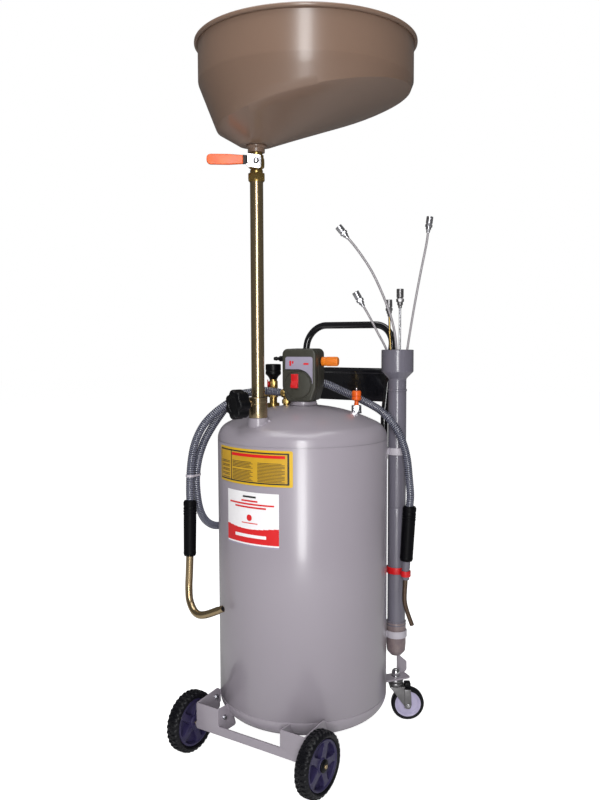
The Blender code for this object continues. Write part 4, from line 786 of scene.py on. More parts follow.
def make_gauge():
    at = place(GAUGE.x, GAUGE.y)
    low, high = span("gauge_case")
    radius = 0.0188
    boot = lathe([
        (0, low - 0.0085), (0.008, low - 0.0085, 0.0008), (0.0125, low, 0.002), (radius, low + 0.006, 0.002),
        (radius, low + 0.012, 0.0006), (radius - 0.0008, low + 0.013), (radius - 0.0008, low + 0.0145),
        (radius, low + 0.0155, 0.0006), (radius, high, 0.0022), (radius - 0.0035, high - 0.0002, 0.001),
        (radius - 0.004, high - 0.0052), (0, high - 0.0052),
    ], 96)
    piece("gauge_boot", BLACK_PLASTIC, "tank", [boot], at, ("gauge_case",))
    piece("gauge_dial", LABEL_WHITE, "tank",
          [peg(radius - 0.0042, high - 0.0053, high - 0.0046, sides=72)], at)
    ticks = []
    for k in range(21):
        length = 0.0026 if k % 5 == 0 else 0.0015
        ticks.append(box((0.0138 - length, -0.0002, high - 0.0047), (0.0138, 0.0002, high - 0.0045),
                         place(rz=math.radians(-135 + 13.5 * k)), 0.00005))
    piece("gauge_ticks", LABEL_BLACK, "tank", ticks, at)
    needle = prism([(-0.004, -0.0008), (0.012, -0.0002), (0.012, 0.0002), (-0.004, 0.0008)], 0.0005,
                   place(0, 0, high - 0.0036, rz=2.2))
    hub = peg(0.0016, high - 0.005, high - 0.0026, 0.0004, 24)
    piece("gauge_needle_skin", RED_PLASTIC, "needle", [needle, hub], at, ("gauge_needle",))
    base, neck_z = dome(GAUGE.x, GAUGE.y), 0.81
    tee = [
        peg(0.015, base - 0.001, neck_z + 0.0005, 0.001, 48), peg(0.0092, neck_z - 0.0005, 0.87, 0.001, 48),
        hexagon(0.0215, 0.824, 0.841), hexagon(0.019, 0.846, 0.864), hexagon(0.015, 0.868, low - 0.0002),
    ]
    start, after = Vector(RETURN_ROUTE[0]), Vector(RETURN_ROUTE[1])
    branch = along(start - Vector((GAUGE.x, GAUGE.y, 0)), start - after)
    front = place(0, 0, COCK_Z, ry=-math.pi / 2, rz=POST_YAW)
    tee += [peg(0.0068, 0.0004, 0.033, at=branch), hexagon(0.018, 0.008, 0.019, branch),
            peg(0.0062, 0.004, 0.007, sides=30, at=front)]
    piece("gauge_tee_skin", BRASS, "tank", tee, at, ("gauge_tee",))
    wing = [
        lathe([(0, 0.0074), (0.004, 0.0074), (0.0072, 0.011, 0.001), (0.0072, 0.0148, 0.0012), (0, 0.0148)],
              36, front),
        prism(panel((-0.0115, -0.004), (0.0115, 0.004), 0.0035, 6), 0.0026, front @ place(0, 0, 0.0122),
              0.001),
    ]
    piece("cock_handle_skin", RED_PLASTIC, "cock", wing, at, ("cock_handle",))
    start, after = Vector(DISCHARGE_ROUTE[0]), Vector(DISCHARGE_ROUTE[1])
    end = along(start, start - after)
    foot = end @ Vector((0, 0, 0.014))
    base, at = dome(foot.x, foot.y), place(foot.x, foot.y)
    piece("discharge_fitting", BRASS, "tank", [
        hexagon(0.0185, 0.003, 0.012, end), peg(0.0068, 0.0004, 0.018, sides=30, at=end),
        peg(0.008, base - 0.001, foot.z + 0.007, 0.0012, at=at),
        hexagon(0.019, base + 0.003, base + 0.013, at),
    ])


def make_safety_valve():
    at = place(SAFETY.x, SAFETY.y)
    base = dome(SAFETY.x, SAFETY.y)
    foot = [peg(0.0125, base - 0.001, base + 0.0035, 0.001, 48), hexagon(0.0205, base + 0.003, 0.8072)]
    piece("safety_base_skin", ZINC, "tank", foot, at, ("safety_base",))
    stem = lathe([(0, 0.806), (0.0056, 0.806), (0.0056, 0.812), (0.0048, 0.8125), (0.0048, 0.818, 0.0005),
                  (0, 0.818)], 36)
    piece("safety_stem", ORANGE_PLASTIC, "tank", [stem], at)
    cap = lathe([
        (0, 0.8186), (0.0092, 0.8186, 0.0006), (0.0113, 0.8215, 0.001), (0.0113, 0.8262, 0.0006),
        (0.0102, 0.8268),
        (0.0102, 0.8292), (0.0113, 0.8298, 0.0006), (0.0113, 0.8385, 0.001), (0.0092, 0.842, 0.001),
        (0, 0.842),
    ], 60)
    piece("safety_cap_skin", ORANGE_PLASTIC, "relief", [cap], at, ("safety_cap",))
    pin = lathe([(0, 0.841), (0.0022, 0.841), (0.0022, 0.8452), (0.0032, 0.8458, 0.0005),
                 (0.0032, 0.8488, 0.0012),
                 (0, 0.8488)], 24)
    piece("safety_pin", ZINC, "relief", [pin], at)


# ---------------------------------------------------------------- handle, tray, holder

def make_handle():
    half, leg_y, bar_y = 0.1275, 0.167, 0.217
    foot, kink, bar, bend, radius = span("handle_frame")[0], 0.78, 1.0, 0.054, 0.0088
    lean = Vector((0, bar_y - leg_y, bar - kink)).normalized()
    corner = Vector((half, bar_y, bar)) - lean * bend - Vector((bend, 0, 0))
    side = [Vector((half, leg_y, foot + 0.02 * k)) for k in range(6)]
    for k in range(9):
        share = k / 8
        upright = Vector((half, leg_y + 0.0006 * math.sin(math.pi * share), kink - 0.008 * (1 - share)))
        side.append(upright + lean * 0.012 * share)
    for k in range(25):
        angle = math.pi / 2 * k / 24
        side.append(corner + (Vector((math.cos(angle), 0, 0)) + lean * math.sin(angle)) * bend)
    route = side + [Vector((-p.x, p.y, p.z)) for p in reversed(side)]
    parts = [sweep(route, radius, 28)]
    for way in (-1, 1):
        out = math.atan2(leg_y - 0.004, way * half)
        for z in (foot + 0.012, foot + 0.046):
            parts.append(box((-0.008, -0.004, -0.0055), (0.0055, 0.004, 0.0055),
                             place(way * half, leg_y, z, rz=out),
                             0.001))
    piece("handle_skin", BLACK_PAINT, "tank", parts, nodes=("handle_frame",), crease=50)


def make_tray():
    low, high = (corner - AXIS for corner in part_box("tool_tray"))
    wall, sheet = 0.0022, 0.0015
    inner = wall + sheet
    levels = (
        (wall + 0.003, low.z, 0.002), (wall, low.z + 0.0005, 0.004), (wall, low.z + 0.003, 0.004),
        (wall, high.z - 0.012, 0.004), (wall - 0.0016, high.z - 0.0105, 0.005), (0.0, high.z - 0.008, 0.006),
        (0.0, high.z - 0.003, 0.006), (wall * 0.4, high.z - 0.0008, 0.006), (wall, high.z, 0.005),
        (inner, high.z - 0.0015, 0.004), (inner, low.z + 0.004, 0.003), (inner + 0.003, low.z + sheet, 0.001),
    )
    tray = []
    for inset, z, corner in levels:
        shape = panel((low.x + inset, low.y + inset), (high.x - inset, high.y - inset), corner)
        tray.append([(x, y, z) for x, y in shape])
    piece("tool_tray_skin", BLACK_PAINT, "tank", [loft(tray)], nodes=("tool_tray",), crease=45)
    straps, strap_low, strap_high = [], 0.84, 0.868
    for way in (-1, 1):
        x = way * (high.x + 0.006)
        arm = x + way * 0.007
        straps.append(box((x - 0.01, low.y + 0.008, strap_low), (x + 0.0085, low.y + 0.0115, strap_high)))
        straps.append(box((arm - 0.0015, 0.178, strap_low), (arm + 0.0015, low.y + 0.011, strap_high)))
    piece("tray_straps", BLACK_PAINT, "tank", straps)


def make_holder():
    at = place(HOLDER.x, HOLDER.y)
    low, high = span("holder_pipe")
    bore, wall, groove, joint = 0.019, 0.0217, 0.0211, 0.5599
    pipe = lathe([
        (bore, low), (wall, low), (wall, joint - 0.0011, 0.0004), (groove, joint - 0.0005),
        (groove, joint + 0.0005),
        (wall, joint + 0.0011, 0.0004), (wall, high, 0.0003), (bore, high),
    ], 84)
    piece("holder_pipe_skin", PVC_GREY, "tank", [pipe], at, ("holder_pipe",))
    low, high = span("holder_cup")
    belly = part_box("holder_cup")[1].x - AXIS.x - HOLDER.x
    cup = [lathe([
        (belly - 0.0035, high, 0.0008), (belly, high, 0.0012), (belly, high - 0.052, 0.004),
        (wall, low + 0.03, 0.006), (0.0212, low + 0.006), (0.023, low + 0.0045, 0.0006), (0.023, low, 0.0006),
        (bore, low), (bore, high - 0.062, 0.003), (belly - 0.0035, high - 0.049, 0.003),
    ], 96)]
    cup += [box((belly - 0.0004, -0.001, high - 0.04), (belly + 0.0005, 0.001, high - 0.006),
                place(rz=math.radians(turn)), 0.0003) for turn in (-72, -40, 100, 200)]
    piece("holder_cup_skin", PVC_GREY, "tank", cup, at, ("holder_cup",))
    low, high = span("holder_cap")
    cap = lathe([
        (0, low), (0.012, low + 0.0005, 0.006), (0.0222, low + 0.012, 0.008), (0.0236, low + 0.03, 0.01),
        (0.0236, high - 0.006, 0.0008), (0.0228, high, 0.0008), (0.0219, high), (0.0219, low + 0.03),
        (bore, low + 0.014), (0, low + 0.006),
    ], 84)
    piece("holder_cap_skin", CAP_PLASTIC, "tank", [cap], at, ("holder_cap",))
    bands = [sleeve(0.0219, 0.024, high - down, high - down + 0.0028, 0.0, 0.0004) for down in (0.01, 0.003)]
    piece("holder_cap_bands", PVC_GREY, "tank", bands, at)
    make_clips(at)


def make_clips(at):
    """Two white clips from the holder to the tank and the red one that carries the right-hand wand."""
    towards = math.atan2(-HOLDER.y, -HOLDER.x)
    gap = math.hypot(HOLDER.x, HOLDER.y) - TANK_R
    for node, hold in (("clip_upper", 0.022), ("clip_lower", 0.0241)):
        low, high = span(node)
        out = hold + 0.002
        parts = [sleeve(hold, out, low, high, 0.0003, 0.0008),
                 box((hold + 0.0005, -0.01, low + 0.001), (gap + 0.0005, 0.01, high - 0.001),
                     place(rz=towards), 0.0012)]
        for x in (-0.0045, 0.001):
            parts.append(box((x, -out - 0.0035, low + 0.001), (x + 0.0025, -out + 0.001, high - 0.001),
                             place(rz=towards + 0.3)))
        piece(f"{node}_skin", WHITE_PLASTIC, "tank", parts, at, (node,))
    low, high = span("wand_clip")
    start, end = Vector(RIGHT_WAND[0]), Vector(RIGHT_WAND[1])
    wand = start.lerp(end, (start.z - (low + high) / 2) / (start.z - end.z))
    arm = Vector((wand.x - HOLDER.x, wand.y - HOLDER.y, 0))
    parts = [
        sleeve(0.022, 0.0241, low, high, 0.0004, 0.0008),
        sleeve(0.0096, 0.0121, low + 0.001, high - 0.001, 0.0004, 0.0008, 48, place(arm.x, arm.y)),
        box((0.0232, -0.004, low + 0.002), (arm.length - 0.0105, 0.004, high - 0.002),
            place(rz=math.atan2(arm.y, arm.x)), 0.0012),
    ]
    piece("wand_clip_skin", RED_PLASTIC, "tank", parts, at, ("wand_clip",))


# ---------------------------------------------------------------- probes

# Each probe: node, body, tube radius, fitting radius and length, looks, and points from its tip down
PROBES = (
    ("probe_long_hooked", "probe_a", 0.003, 0.0085, 0.03, PALE_HOSE, ZINC, (
        (0.076, 0.074, 1.206), (0.096, 0.088, 1.177), (0.124, 0.107, 1.127),
        (0.146, 0.122, 1.072), (0.164, 0.134, 1.014), (0.173, 0.14, 0.96),
        (0.175, 0.142, 0.9), (0.174, 0.143, 0.85), (0.174, 0.143, 0.8),
    )),
    ("probe_long_leaning", "probe_b", 0.0028, 0.008, 0.032, PALE_HOSE, ZINC, (
        (0.228, 0.196, 1.221), (0.225, 0.1935, 1.19), (0.213, 0.185, 1.115),
        (0.202, 0.177, 1.04), (0.193, 0.17, 0.97), (0.1865, 0.165, 0.915),
        (0.1812, 0.1592, 0.865), (0.1806, 0.1578, 0.81),
    )),
    ("probe_short_leaning", "probe_c", 0.0028, 0.0085, 0.034, PALE_HOSE, ZINC, (
        (0.092, 0.121, 1.048), (0.107, 0.131, 1.017), (0.122, 0.142, 0.981),
        (0.139, 0.153, 0.943), (0.151, 0.1585, 0.905), (0.1588, 0.1605, 0.865),
        (0.1585, 0.1605, 0.81),
    )),
    ("probe_short_brass", "probe_d", 0.0026, 0.008, 0.034, BRASS, DARK_ZINC, (
        (0.154, 0.142, 1.024), (0.155, 0.143, 0.98), (0.157, 0.145, 0.93),
        (0.16, 0.147, 0.88), (0.161, 0.148, 0.83),
    )),
    ("probe_short_steel", "probe_e", 0.0028, 0.0085, 0.04, ZINC, DARK_ZINC, (
        (0.17, 0.166, 1.044), (0.17, 0.166, 0.98), (0.1698, 0.1658, 0.92),
        (0.1693, 0.1655, 0.86), (0.169, 0.1655, 0.8),
    )),
)


def make_probes():
    for name, body, tube_r, wide, length, pipe_look, fitting_look, points in PROBES:
        foot = Vector((points[-1][0], points[-1][1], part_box(name)[0].z))
        route = smooth_route(points, 0.01) + [foot]
        piece(f"{name}_tube", pipe_look, body, [sweep(route, tube_r, 20)], nodes=(name,), crease=50)
        tip = Vector(points[0])
        waist, mouth = wide * 0.8, wide * 0.55
        fitting = lathe([
            (0, -0.006), (tube_r + 0.0014, -0.006), (tube_r + 0.002, 0.0), (waist, 0.002, 0.0008),
            (waist, length * 0.45), (wide, length * 0.5, 0.0006), (wide, length, 0.001), (mouth, length),
            (mouth, length - 0.004), (0, length - 0.004),
        ], 40)
        piece(f"{name}_fitting", fitting_look, body,
              [fitting, hexagon(wide * 1.9, length * 0.22, length * 0.42)],
              along(tip, tip - Vector(points[1])))


# ---------------------------------------------------------------- running gear

def make_axle_bracket():
    gauge, clear = 0.003, 0.0008
    front_y, out_x, in_x = -0.214, 0.153, 0.087
    low, strip, high, wing_high = 0.064, 0.084, 0.125, 0.136
    plate = rounded([
        (-out_x, low, 0.003), (out_x, low, 0.003), (out_x, high, 0.004), (in_x, high, 0.004),
        (in_x, strip, 0.004),
        (-in_x, strip, 0.004), (-in_x, high, 0.004), (-out_x, high, 0.004),
    ], 5)
    parts = [prism(plate, gauge, place(0, front_y + gauge / 2) @ FRONT, 0.0008)]
    back_out = -math.sqrt((TANK_R + clear) ** 2 - (out_x - gauge) ** 2)
    under = []
    for k in range(13):
        angle = math.radians(60) * k / 12
        reach = TANK_R - KNUCKLE_R + (KNUCKLE_R + clear) * math.cos(angle)
        under.append((-math.sqrt(reach ** 2 - in_x ** 2), SEAM_LOW - (KNUCKLE_R + clear) * math.sin(angle)))
    side_on = Matrix(((0, 0, 1, 0), (1, 0, 0, 0), (0, 1, 0, 0), (0, 0, 0, 1)))
    inner = [(front_y, low, 0.001), (-0.15, low + 0.002, 0.005)] + [(y, z, 0) for y, z in reversed(under)]
    inner = rounded(inner + [(front_y, high, 0.004)], 4)
    outer = rounded([
        (front_y, low, 0.001), (back_out, low + 0.02, 0.01), (back_out, wing_high, 0.01),
        (front_y, high, 0.003),
    ], 5)
    wall = [(back_out, low + 0.034 + 0.005 * k) for k in range(7)]
    for way in (-1, 1):
        inner_x = way * in_x - (gauge if way < 0 else 0)
        outer_x = way * out_x - (gauge if way > 0 else 0)
        for x, flange, bevel, seam in ((inner_x, inner, 0.0005, under), (outer_x, outer, 0.0006, wall)):
            parts.append(prism(flange, gauge, place(x) @ side_on, bevel))
            route = smooth_route([Vector((x + gauge / 2, y + 0.0006, z)) for y, z in seam], 0.002)
            parts.append(sweep(route, lambda distance, turn: 0.0022 + 0.0003 * math.sin(distance / 0.0007),
                               10))
    axle = centre("axle_rod")
    axle_at = place(axle.x, axle.y, axle.z, ry=math.pi / 2)
    parts.append(lathe([(0.006, -0.1575), (0.0085, -0.1575, 0.0004), (0.0085, 0.1575, 0.0004),
                        (0.006, 0.1575)], 48,
                       axle_at))
    piece("axle_bracket_skin", TANK_PAINT, "tank", parts, nodes=("axle_bracket",))
    bolts = []
    for way in (-1, 1):
        for x, y, z in ((out_x - gauge, -0.148, 0.115), (in_x, -0.193, 0.099)):
            for face, turn in ((x, -1), (x + gauge, 1)):
                at = place(way * face, y, z, ry=way * turn * math.pi / 2)
                bolts += [peg(0.0062, 0, 0.001, 0.0003, 30, at), hexagon(0.009, 0.0009, 0.0048, at)]
    piece("bracket_bolts", ZINC, "tank", bolts)
    reach = (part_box("axle_rod")[1].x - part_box("axle_rod")[0].x) / 2
    bar = lathe([
        (0, -reach), (0.005, -reach, 0.001), (0.005, -reach + 0.004), (0.0055, -reach + 0.0045),
        (0.0055, reach - 0.0045), (0.005, reach - 0.004), (0.005, reach, 0.001), (0, reach),
    ], 40, axle_at)
    piece("axle_skin", YELLOW_ZINC, "tank", [bar], nodes=("axle_rod",))


def tread(radius, width, rim, blocks=34, height=0.003):
    """A closed tyre whose crown carries two rows of staggered blocks."""
    across = [-1, -0.96, -0.86, -0.74, -0.6, -0.4, -0.14, -0.06, 0.06, 0.14, 0.4, 0.6, 0.74, 0.86, 0.96, 1]
    sides = blocks * 8
    half = width / 2
    rings = []
    for k in range(sides):
        angle = math.tau * k / sides
        ring = []
        for v in across:
            round_off = math.sqrt(max(0.0, 1 - (abs(v) ** 3.2)))
            crown = rim + (radius - height - rim) * (0.42 + 0.58 * round_off)
            phase = blocks * angle + (0.0 if v > 0 else math.pi) + 1.1 * abs(v)
            lug = max(0.0, min(1.0, 0.5 + 2.2 * math.sin(phase)))
            shoulder = 1.0 if 0.1 < abs(v) < 0.8 else (0.45 if abs(v) < 0.9 else 0.0)
            if abs(v) <= 0.1:
                shoulder = 0.1
            reach = crown + height * lug * shoulder
            ring.append((reach * math.cos(angle), reach * math.sin(angle), v * half))
        for v, r in ((0.92, rim + 0.003), (0.7, rim), (-0.7, rim), (-0.92, rim + 0.003)):
            ring.append((r * math.cos(angle), r * math.sin(angle), v * half))
        rings.append(ring)
    return loft(rings, loop=True)


def make_wheels():
    rim, half = 0.0545, 0.017
    for name, side in (("left", -1), ("right", 1)):
        hub_at = centre(f"wheel_hub_{name}")
        at = place(hub_at.x, hub_at.y, hub_at.z, ry=side * math.pi / 2)
        body = f"wheel_{name}"
        radius = (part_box(f"tyre_{name}")[1].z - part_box(f"tyre_{name}")[0].z) / 2
        piece(f"tyre_{name}_skin", RUBBER, body, [tread(radius, 2 * half, rim + 0.0003)], at,
              (f"tyre_{name}",), crease=40)
        parts = [
            lathe([
                (0.049, -half + 0.003, 0.001), (rim, -half + 0.003, 0.001), (rim, half - 0.003, 0.001),
                (0.0522, half - 0.0022, 0.001), (0.049, half - 0.005, 0.001),
            ], 96),
            lathe([(0.014, -0.002), (0.05, -0.002), (0.05, 0.002), (0.014, 0.002)], 96),
            lathe([
                (0.006, -half), (0.016, -half, 0.001), (0.019, 0.0), (0.016, half - 0.002, 0.0015),
                (0.006, half - 0.002),
            ], 60),
        ]
        for k in range(5):
            turn = place(rz=math.tau * k / 5 + math.pi / 2)
            spoke = rounded([
                (0.012, -0.0095, 0.001), (0.04, -0.007, 0.006), (0.0505, -0.012, 0.001),
                (0.0505, 0.012, 0.001), (0.04, 0.007, 0.006), (0.012, 0.0095, 0.001),
            ], 4)
            parts.append(prism(spoke, 2 * half - 0.009, turn @ place(0, 0, -half + 0.0045), 0.002, 4))
        piece(f"wheel_hub_{name}_skin", HUB_PLASTIC, body, parts, at,
              (f"wheel_hub_{name}",))
        cap = lathe([
            (0.0057, half - 0.004), (0.014, half - 0.004), (0.014, half + 0.0004, 0.0015),
            (0.009, half + 0.0032, 0.002),
            (0.0057, half + 0.0034),
        ], 60)
        piece(f"wheel_cap_{name}", BLACK_PLASTIC, body, [cap], at)


def make_casters():
    for name, side in (("left", -1), ("right", 1)):
        wheel = centre(f"caster_wheel_{name}")
        stem_x = wheel.x - CASTER_TRAIL * math.cos(CASTER_YAW)
        stem_y = wheel.y - CASTER_TRAIL * math.sin(CASTER_YAW)
        fork_at = place(stem_x, stem_y, 0, rz=CASTER_YAW)
        make_caster_bracket(name, side, stem_x, stem_y)
        make_caster_fork(name, fork_at)
        make_caster_wheel(name, place(wheel.x, wheel.y, wheel.z, rx=math.pi / 2, rz=CASTER_YAW))


def make_caster_bracket(name, side, stem_x, stem_y):
    """The shelf welded to the tank, with its pad, its upright wing and the weld between them."""
    inner = 0.001 - math.hypot(stem_x, stem_y) + TANK_R
    half, sheet = 0.02, SHELF_SHEET
    shelf = rounded([(inner, -half, 0.002), (0.033, -half, 0.009), (0.033, half, 0.003),
                     (inner, half, 0.002)], 5)
    parts = [prism(shelf, sheet, place(0, 0, SHELF_Z), 0.0009),
             box((inner + 0.0002, -half, SHELF_Z - 0.008), (inner + 0.0035, half, SHELF_Z + 0.028),
                 bevel=0.0012)]
    far = 0.017 if side > 0 else -half
    wing = rounded([
        (0.013, SHELF_Z + 0.0005, 0.0), (0.033, SHELF_Z + 0.0005, 0.001), (0.041, SHELF_Z + 0.008, 0.004),
        (0.041, SHELF_Z + 0.03, 0.005), (0.019, SHELF_Z + 0.05, 0.004), (0.013, SHELF_Z + 0.05, 0.001),
    ], 5)
    inner_y = far if side > 0 else far + 0.003
    fold = [Vector((0.014, inner_y, SHELF_Z + up)) for up in (0.003, 0.0485)]
    foot = [Vector((0.014 + 0.0045 * k, inner_y, SHELF_Z + sheet)) for k in range(5)]
    parts += [prism(wing, 0.003, place(0, far + 0.003) @ FRONT, 0.0008), sweep(fold, 0.0014, 12),
              sweep(smooth_route(foot, 0.0015),
                    lambda distance, turn: 0.0018 + 0.0003 * math.sin(distance / 0.0006), 10)]
    piece(f"caster_bracket_{name}_skin", TANK_PAINT, "tank", parts,
          place(stem_x, stem_y, 0, rz=math.atan2(stem_y, stem_x)), (f"caster_bracket_{name}",))


def make_caster_fork(name, at):
    leg_y, leg, crown_z, radius, body = 0.0135, 0.0025, 0.088, CASTER_R, f"fork_{name}"
    out_y = leg_y + leg
    cheek = rounded([
        (-0.016, crown_z, 0.003), (0.0195, crown_z, 0.001), (0.0215, 0.08, 0.003), (0.037, 0.074, 0.003),
        (0.039, radius, 0.006), (0.0355, radius - 0.0105, 0.005), (0.0245, radius - 0.0105, 0.005),
        (0.017, radius + 0.002, 0.008),
    ], 5)
    fork = [box((-0.016, -out_y, crown_z - 0.003), (0.022, out_y, crown_z), bevel=0.001)]
    fork += [prism(cheek, leg, place(0, y) @ FRONT, 0.0006) for y in (out_y, -leg_y)]
    for way in (-1, 1):
        low_y, high_y = sorted((way * (out_y - 0.0002), way * (out_y + 0.002)))
        fork.append(box((0.0205, low_y, 0.034), (0.0365, high_y, 0.0815), bevel=0.0012))
    fork.append(lathe([
        (0, crown_z - 0.001), (0.0165, crown_z - 0.001, 0.001), (0.019, 0.094, 0.001), (0.018, 0.0965),
        (0.016, 0.0975), (0.018, 0.0985), (0.019, 0.102, 0.001), (0.017, SHELF_Z - 0.0003),
        (0, SHELF_Z - 0.0003),
    ], 60))
    piece(f"caster_fork_{name}_skin", DARK_ZINC, body, fork, at, (f"caster_fork_{name}",))
    piece(f"caster_stop_{name}", BLACK_PLASTIC, body,
          [box((0.0215, -0.011, crown_z - 0.004), (0.037, 0.011, crown_z + 0.0075), bevel=0.0018)], at)
    top, ball = SHELF_Z + SHELF_SHEET + 0.0003, 0.0106
    acorn = [
        (0, top), (0.0115, top, 0.0003), (0.0115, top + 0.0016, 0.0004), (0.0092, top + 0.002),
        (0.0092, top + 0.0036),
    ]
    for k in range(9):
        angle = math.radians(-30 + 15 * k)
        acorn.append((ball * math.cos(angle) if k < 8 else 0, top + 0.0092 + ball * math.sin(angle)))
    nuts = [lathe(acorn, 48)]
    for way in (-1, 1):
        pin_at = place(CASTER_TRAIL, 0, radius, rx=-way * math.pi / 2)
        nuts += [hexagon(0.0095, out_y + 0.0015, out_y + 0.005, pin_at),
                 peg(0.0034, leg_y, out_y + 0.0064, 0.0008, 28, pin_at)]
    piece(f"caster_nut_{name}", STEEL, body, nuts, at)


def make_caster_wheel(name, at):
    radius, body = CASTER_R, f"caster_{name}"
    outer = [(0.01, 0.0118, 0.001), (0.0115, 0.008, 0.001), (0.025, 0.0072), (0.0256, 0.0084, 0.0004),
             (0.027, 0.0084, 0.0004), (0.0276, 0.0074), (0.03, 0.0092, 0.001), (0.0332, 0.0098, 0.0008)]
    hub = [(0.0038, 0.0118)] + outer + [(r, -z, *rest) for r, z,
                                        *rest in reversed(outer)] + [(0.0038, -0.0118)]
    piece(f"caster_hub_{name}", LILAC_PLASTIC, body, [lathe(hub, 84)], at)
    band = lathe([
        (0.0325, -0.0102, 0.0008), (radius - 0.0035, -0.011, 0.002), (radius, -0.0065, 0.003),
        (radius, 0.0065, 0.003), (radius - 0.0035, 0.011, 0.002), (0.0325, 0.0102, 0.0008),
    ], 96)
    piece(f"caster_tread_{name}", RUBBER, body, [band], at, (f"caster_wheel_{name}",))


# ---------------------------------------------------------------- hoses

# Routes of the hoses and wands, each from the end it leaves
DISCHARGE_ROUTE = (
    (-0.052, -0.015, 0.838), (-0.068, -0.0215, 0.8405), (-0.088, -0.043, 0.843),
    (-0.107, -0.079, 0.8375), (-0.124, -0.118, 0.819), (-0.145, -0.143, 0.797),
    (-0.166, -0.157, 0.772), (-0.18, -0.165, 0.746), (-0.189, -0.171, 0.718),
    (-0.1945, -0.175, 0.685), (-0.1965, -0.178, 0.65), (-0.1965, -0.18, 0.618),
    (-0.1962, -0.1802, 0.59),
)
RETURN_ROUTE = (
    (-0.126, 0.0, 0.833), (-0.142, -0.006, 0.834), (-0.1555, -0.02, 0.834),
    (-0.16, -0.045, 0.829), (-0.156, -0.079, 0.815), (-0.162, -0.106, 0.788),
    (-0.172, -0.126, 0.759), (-0.183, -0.142, 0.726), (-0.193, -0.151, 0.687),
    (-0.199, -0.154, 0.645), (-0.201, -0.151, 0.605), (-0.203, -0.14, 0.564),
    (-0.207, -0.118, 0.533), (-0.211, -0.085, 0.512), (-0.215, -0.048, 0.503),
    (-0.217, -0.01, 0.5), (-0.216, 0.025, 0.5),
)
SUCTION_ROUTE = (
    (0.008, 0.0545, 0.8626), (0.0237, 0.0689, 0.857), (0.0368, 0.0811, 0.8495),
    (0.0508, 0.0933, 0.8407), (0.0713, 0.1076, 0.8293), (0.098, 0.1171, 0.8162),
    (0.1191, 0.1196, 0.8069), (0.1407, 0.12, 0.7964), (0.1566, 0.1189, 0.7858),
    (0.1699, 0.1185, 0.7742), (0.1899, 0.1215, 0.7473), (0.2029, 0.1262, 0.7149),
    (0.2099, 0.1311, 0.6795), (0.2131, 0.1346, 0.6383), (0.2153, 0.1379, 0.5969),
    (0.2141, 0.1371, 0.569),
)
LEFT_GRIP = ((-0.1962, -0.1802, 0.5897), (-0.196, -0.1835, 0.459))
RIGHT_GRIP = ((0.2141, 0.1371, 0.5687), (0.208, 0.133, 0.437))
LEFT_WAND = (
    (-0.196, -0.1836, 0.4587), (-0.196, -0.186, 0.42), (-0.1955, -0.189, 0.382),
    (-0.188, -0.1935, 0.352), (-0.164, -0.201, 0.332), (-0.133, -0.205, 0.334),
    (-0.087, -0.195, 0.354),
)
RIGHT_WAND = (
    (0.208, 0.133, 0.4367), (0.2065, 0.132, 0.39), (0.205, 0.131, 0.35),
    (0.2065, 0.132, 0.33), (0.2115, 0.136, 0.308), (0.22, 0.142, 0.279),
)
HOSE_R = 0.0095
RIB_PITCH = 0.0045


def route_length(route):
    """Length of a line through the given points."""
    return sum((b - a).length for a, b in zip(route, route[1:]))


def make_hose(name, points, node):
    """A clear hose with a dark spiral rib moulded into its wall."""
    length = route_length(smooth_route(points, 0.03))
    sides = 24
    fine = smooth_route(points, RIB_PITCH / 8)

    def ribbed(distance, turn):
        return HOSE_R - 0.0004 + 0.0004 * math.sin(math.tau * distance / RIB_PITCH - turn)

    hose = piece(name, HOSE, "tank", [sweep(fine, ribbed, sides)], nodes=(node,), crease=80)
    hose.data.materials.append(HOSE_RIB)
    for face in hose.data.polygons[:sides * (len(fine) - 1)]:
        row, column = divmod(face.index, sides)
        phase = length * (row + 0.5) / (len(fine) - 1) / RIB_PITCH - (column + 0.5) / sides
        if 0.02 < phase % 1 < 0.46:
            face.material_index = 1
    path = [tuple(AXIS + point) for point in smooth_route(points, 0.006)]
    tuple(AXIS + Vector(points[0]))


def make_grip(name, ends, radius, node):
    """A rubber grip with rings cut round its top."""
    top, bottom = Vector(ends[0]), Vector(ends[1])
    length = (top - bottom).length
    corners = [(0, length), (radius * 0.84, length, 0.001), (radius, length - 0.004, 0.001),
               (radius, length - 0.012, 0.0006), (radius * 0.95, length - 0.0125),
               (radius * 0.95, length - 0.016)]
    for k in range(3):
        z = length - 0.018 - 0.006 * k
        corners += [(radius, z, 0.0004), (radius, z - 0.003, 0.0004), (radius * 0.955, z - 0.0035),
                    (radius * 0.955, z - 0.0055)]
    corners += [(radius * 0.97, length - 0.042, 0.002), (radius * 0.94, 0.01, 0.002),
                (radius * 0.97, 0.006, 0.001),
                (radius * 0.86, 0.0, 0.001), (0, 0.0)]
    return piece(name, GRIP_RUBBER, "tank", [lathe(corners, 60)],
                 along(bottom, top - bottom), (node,))


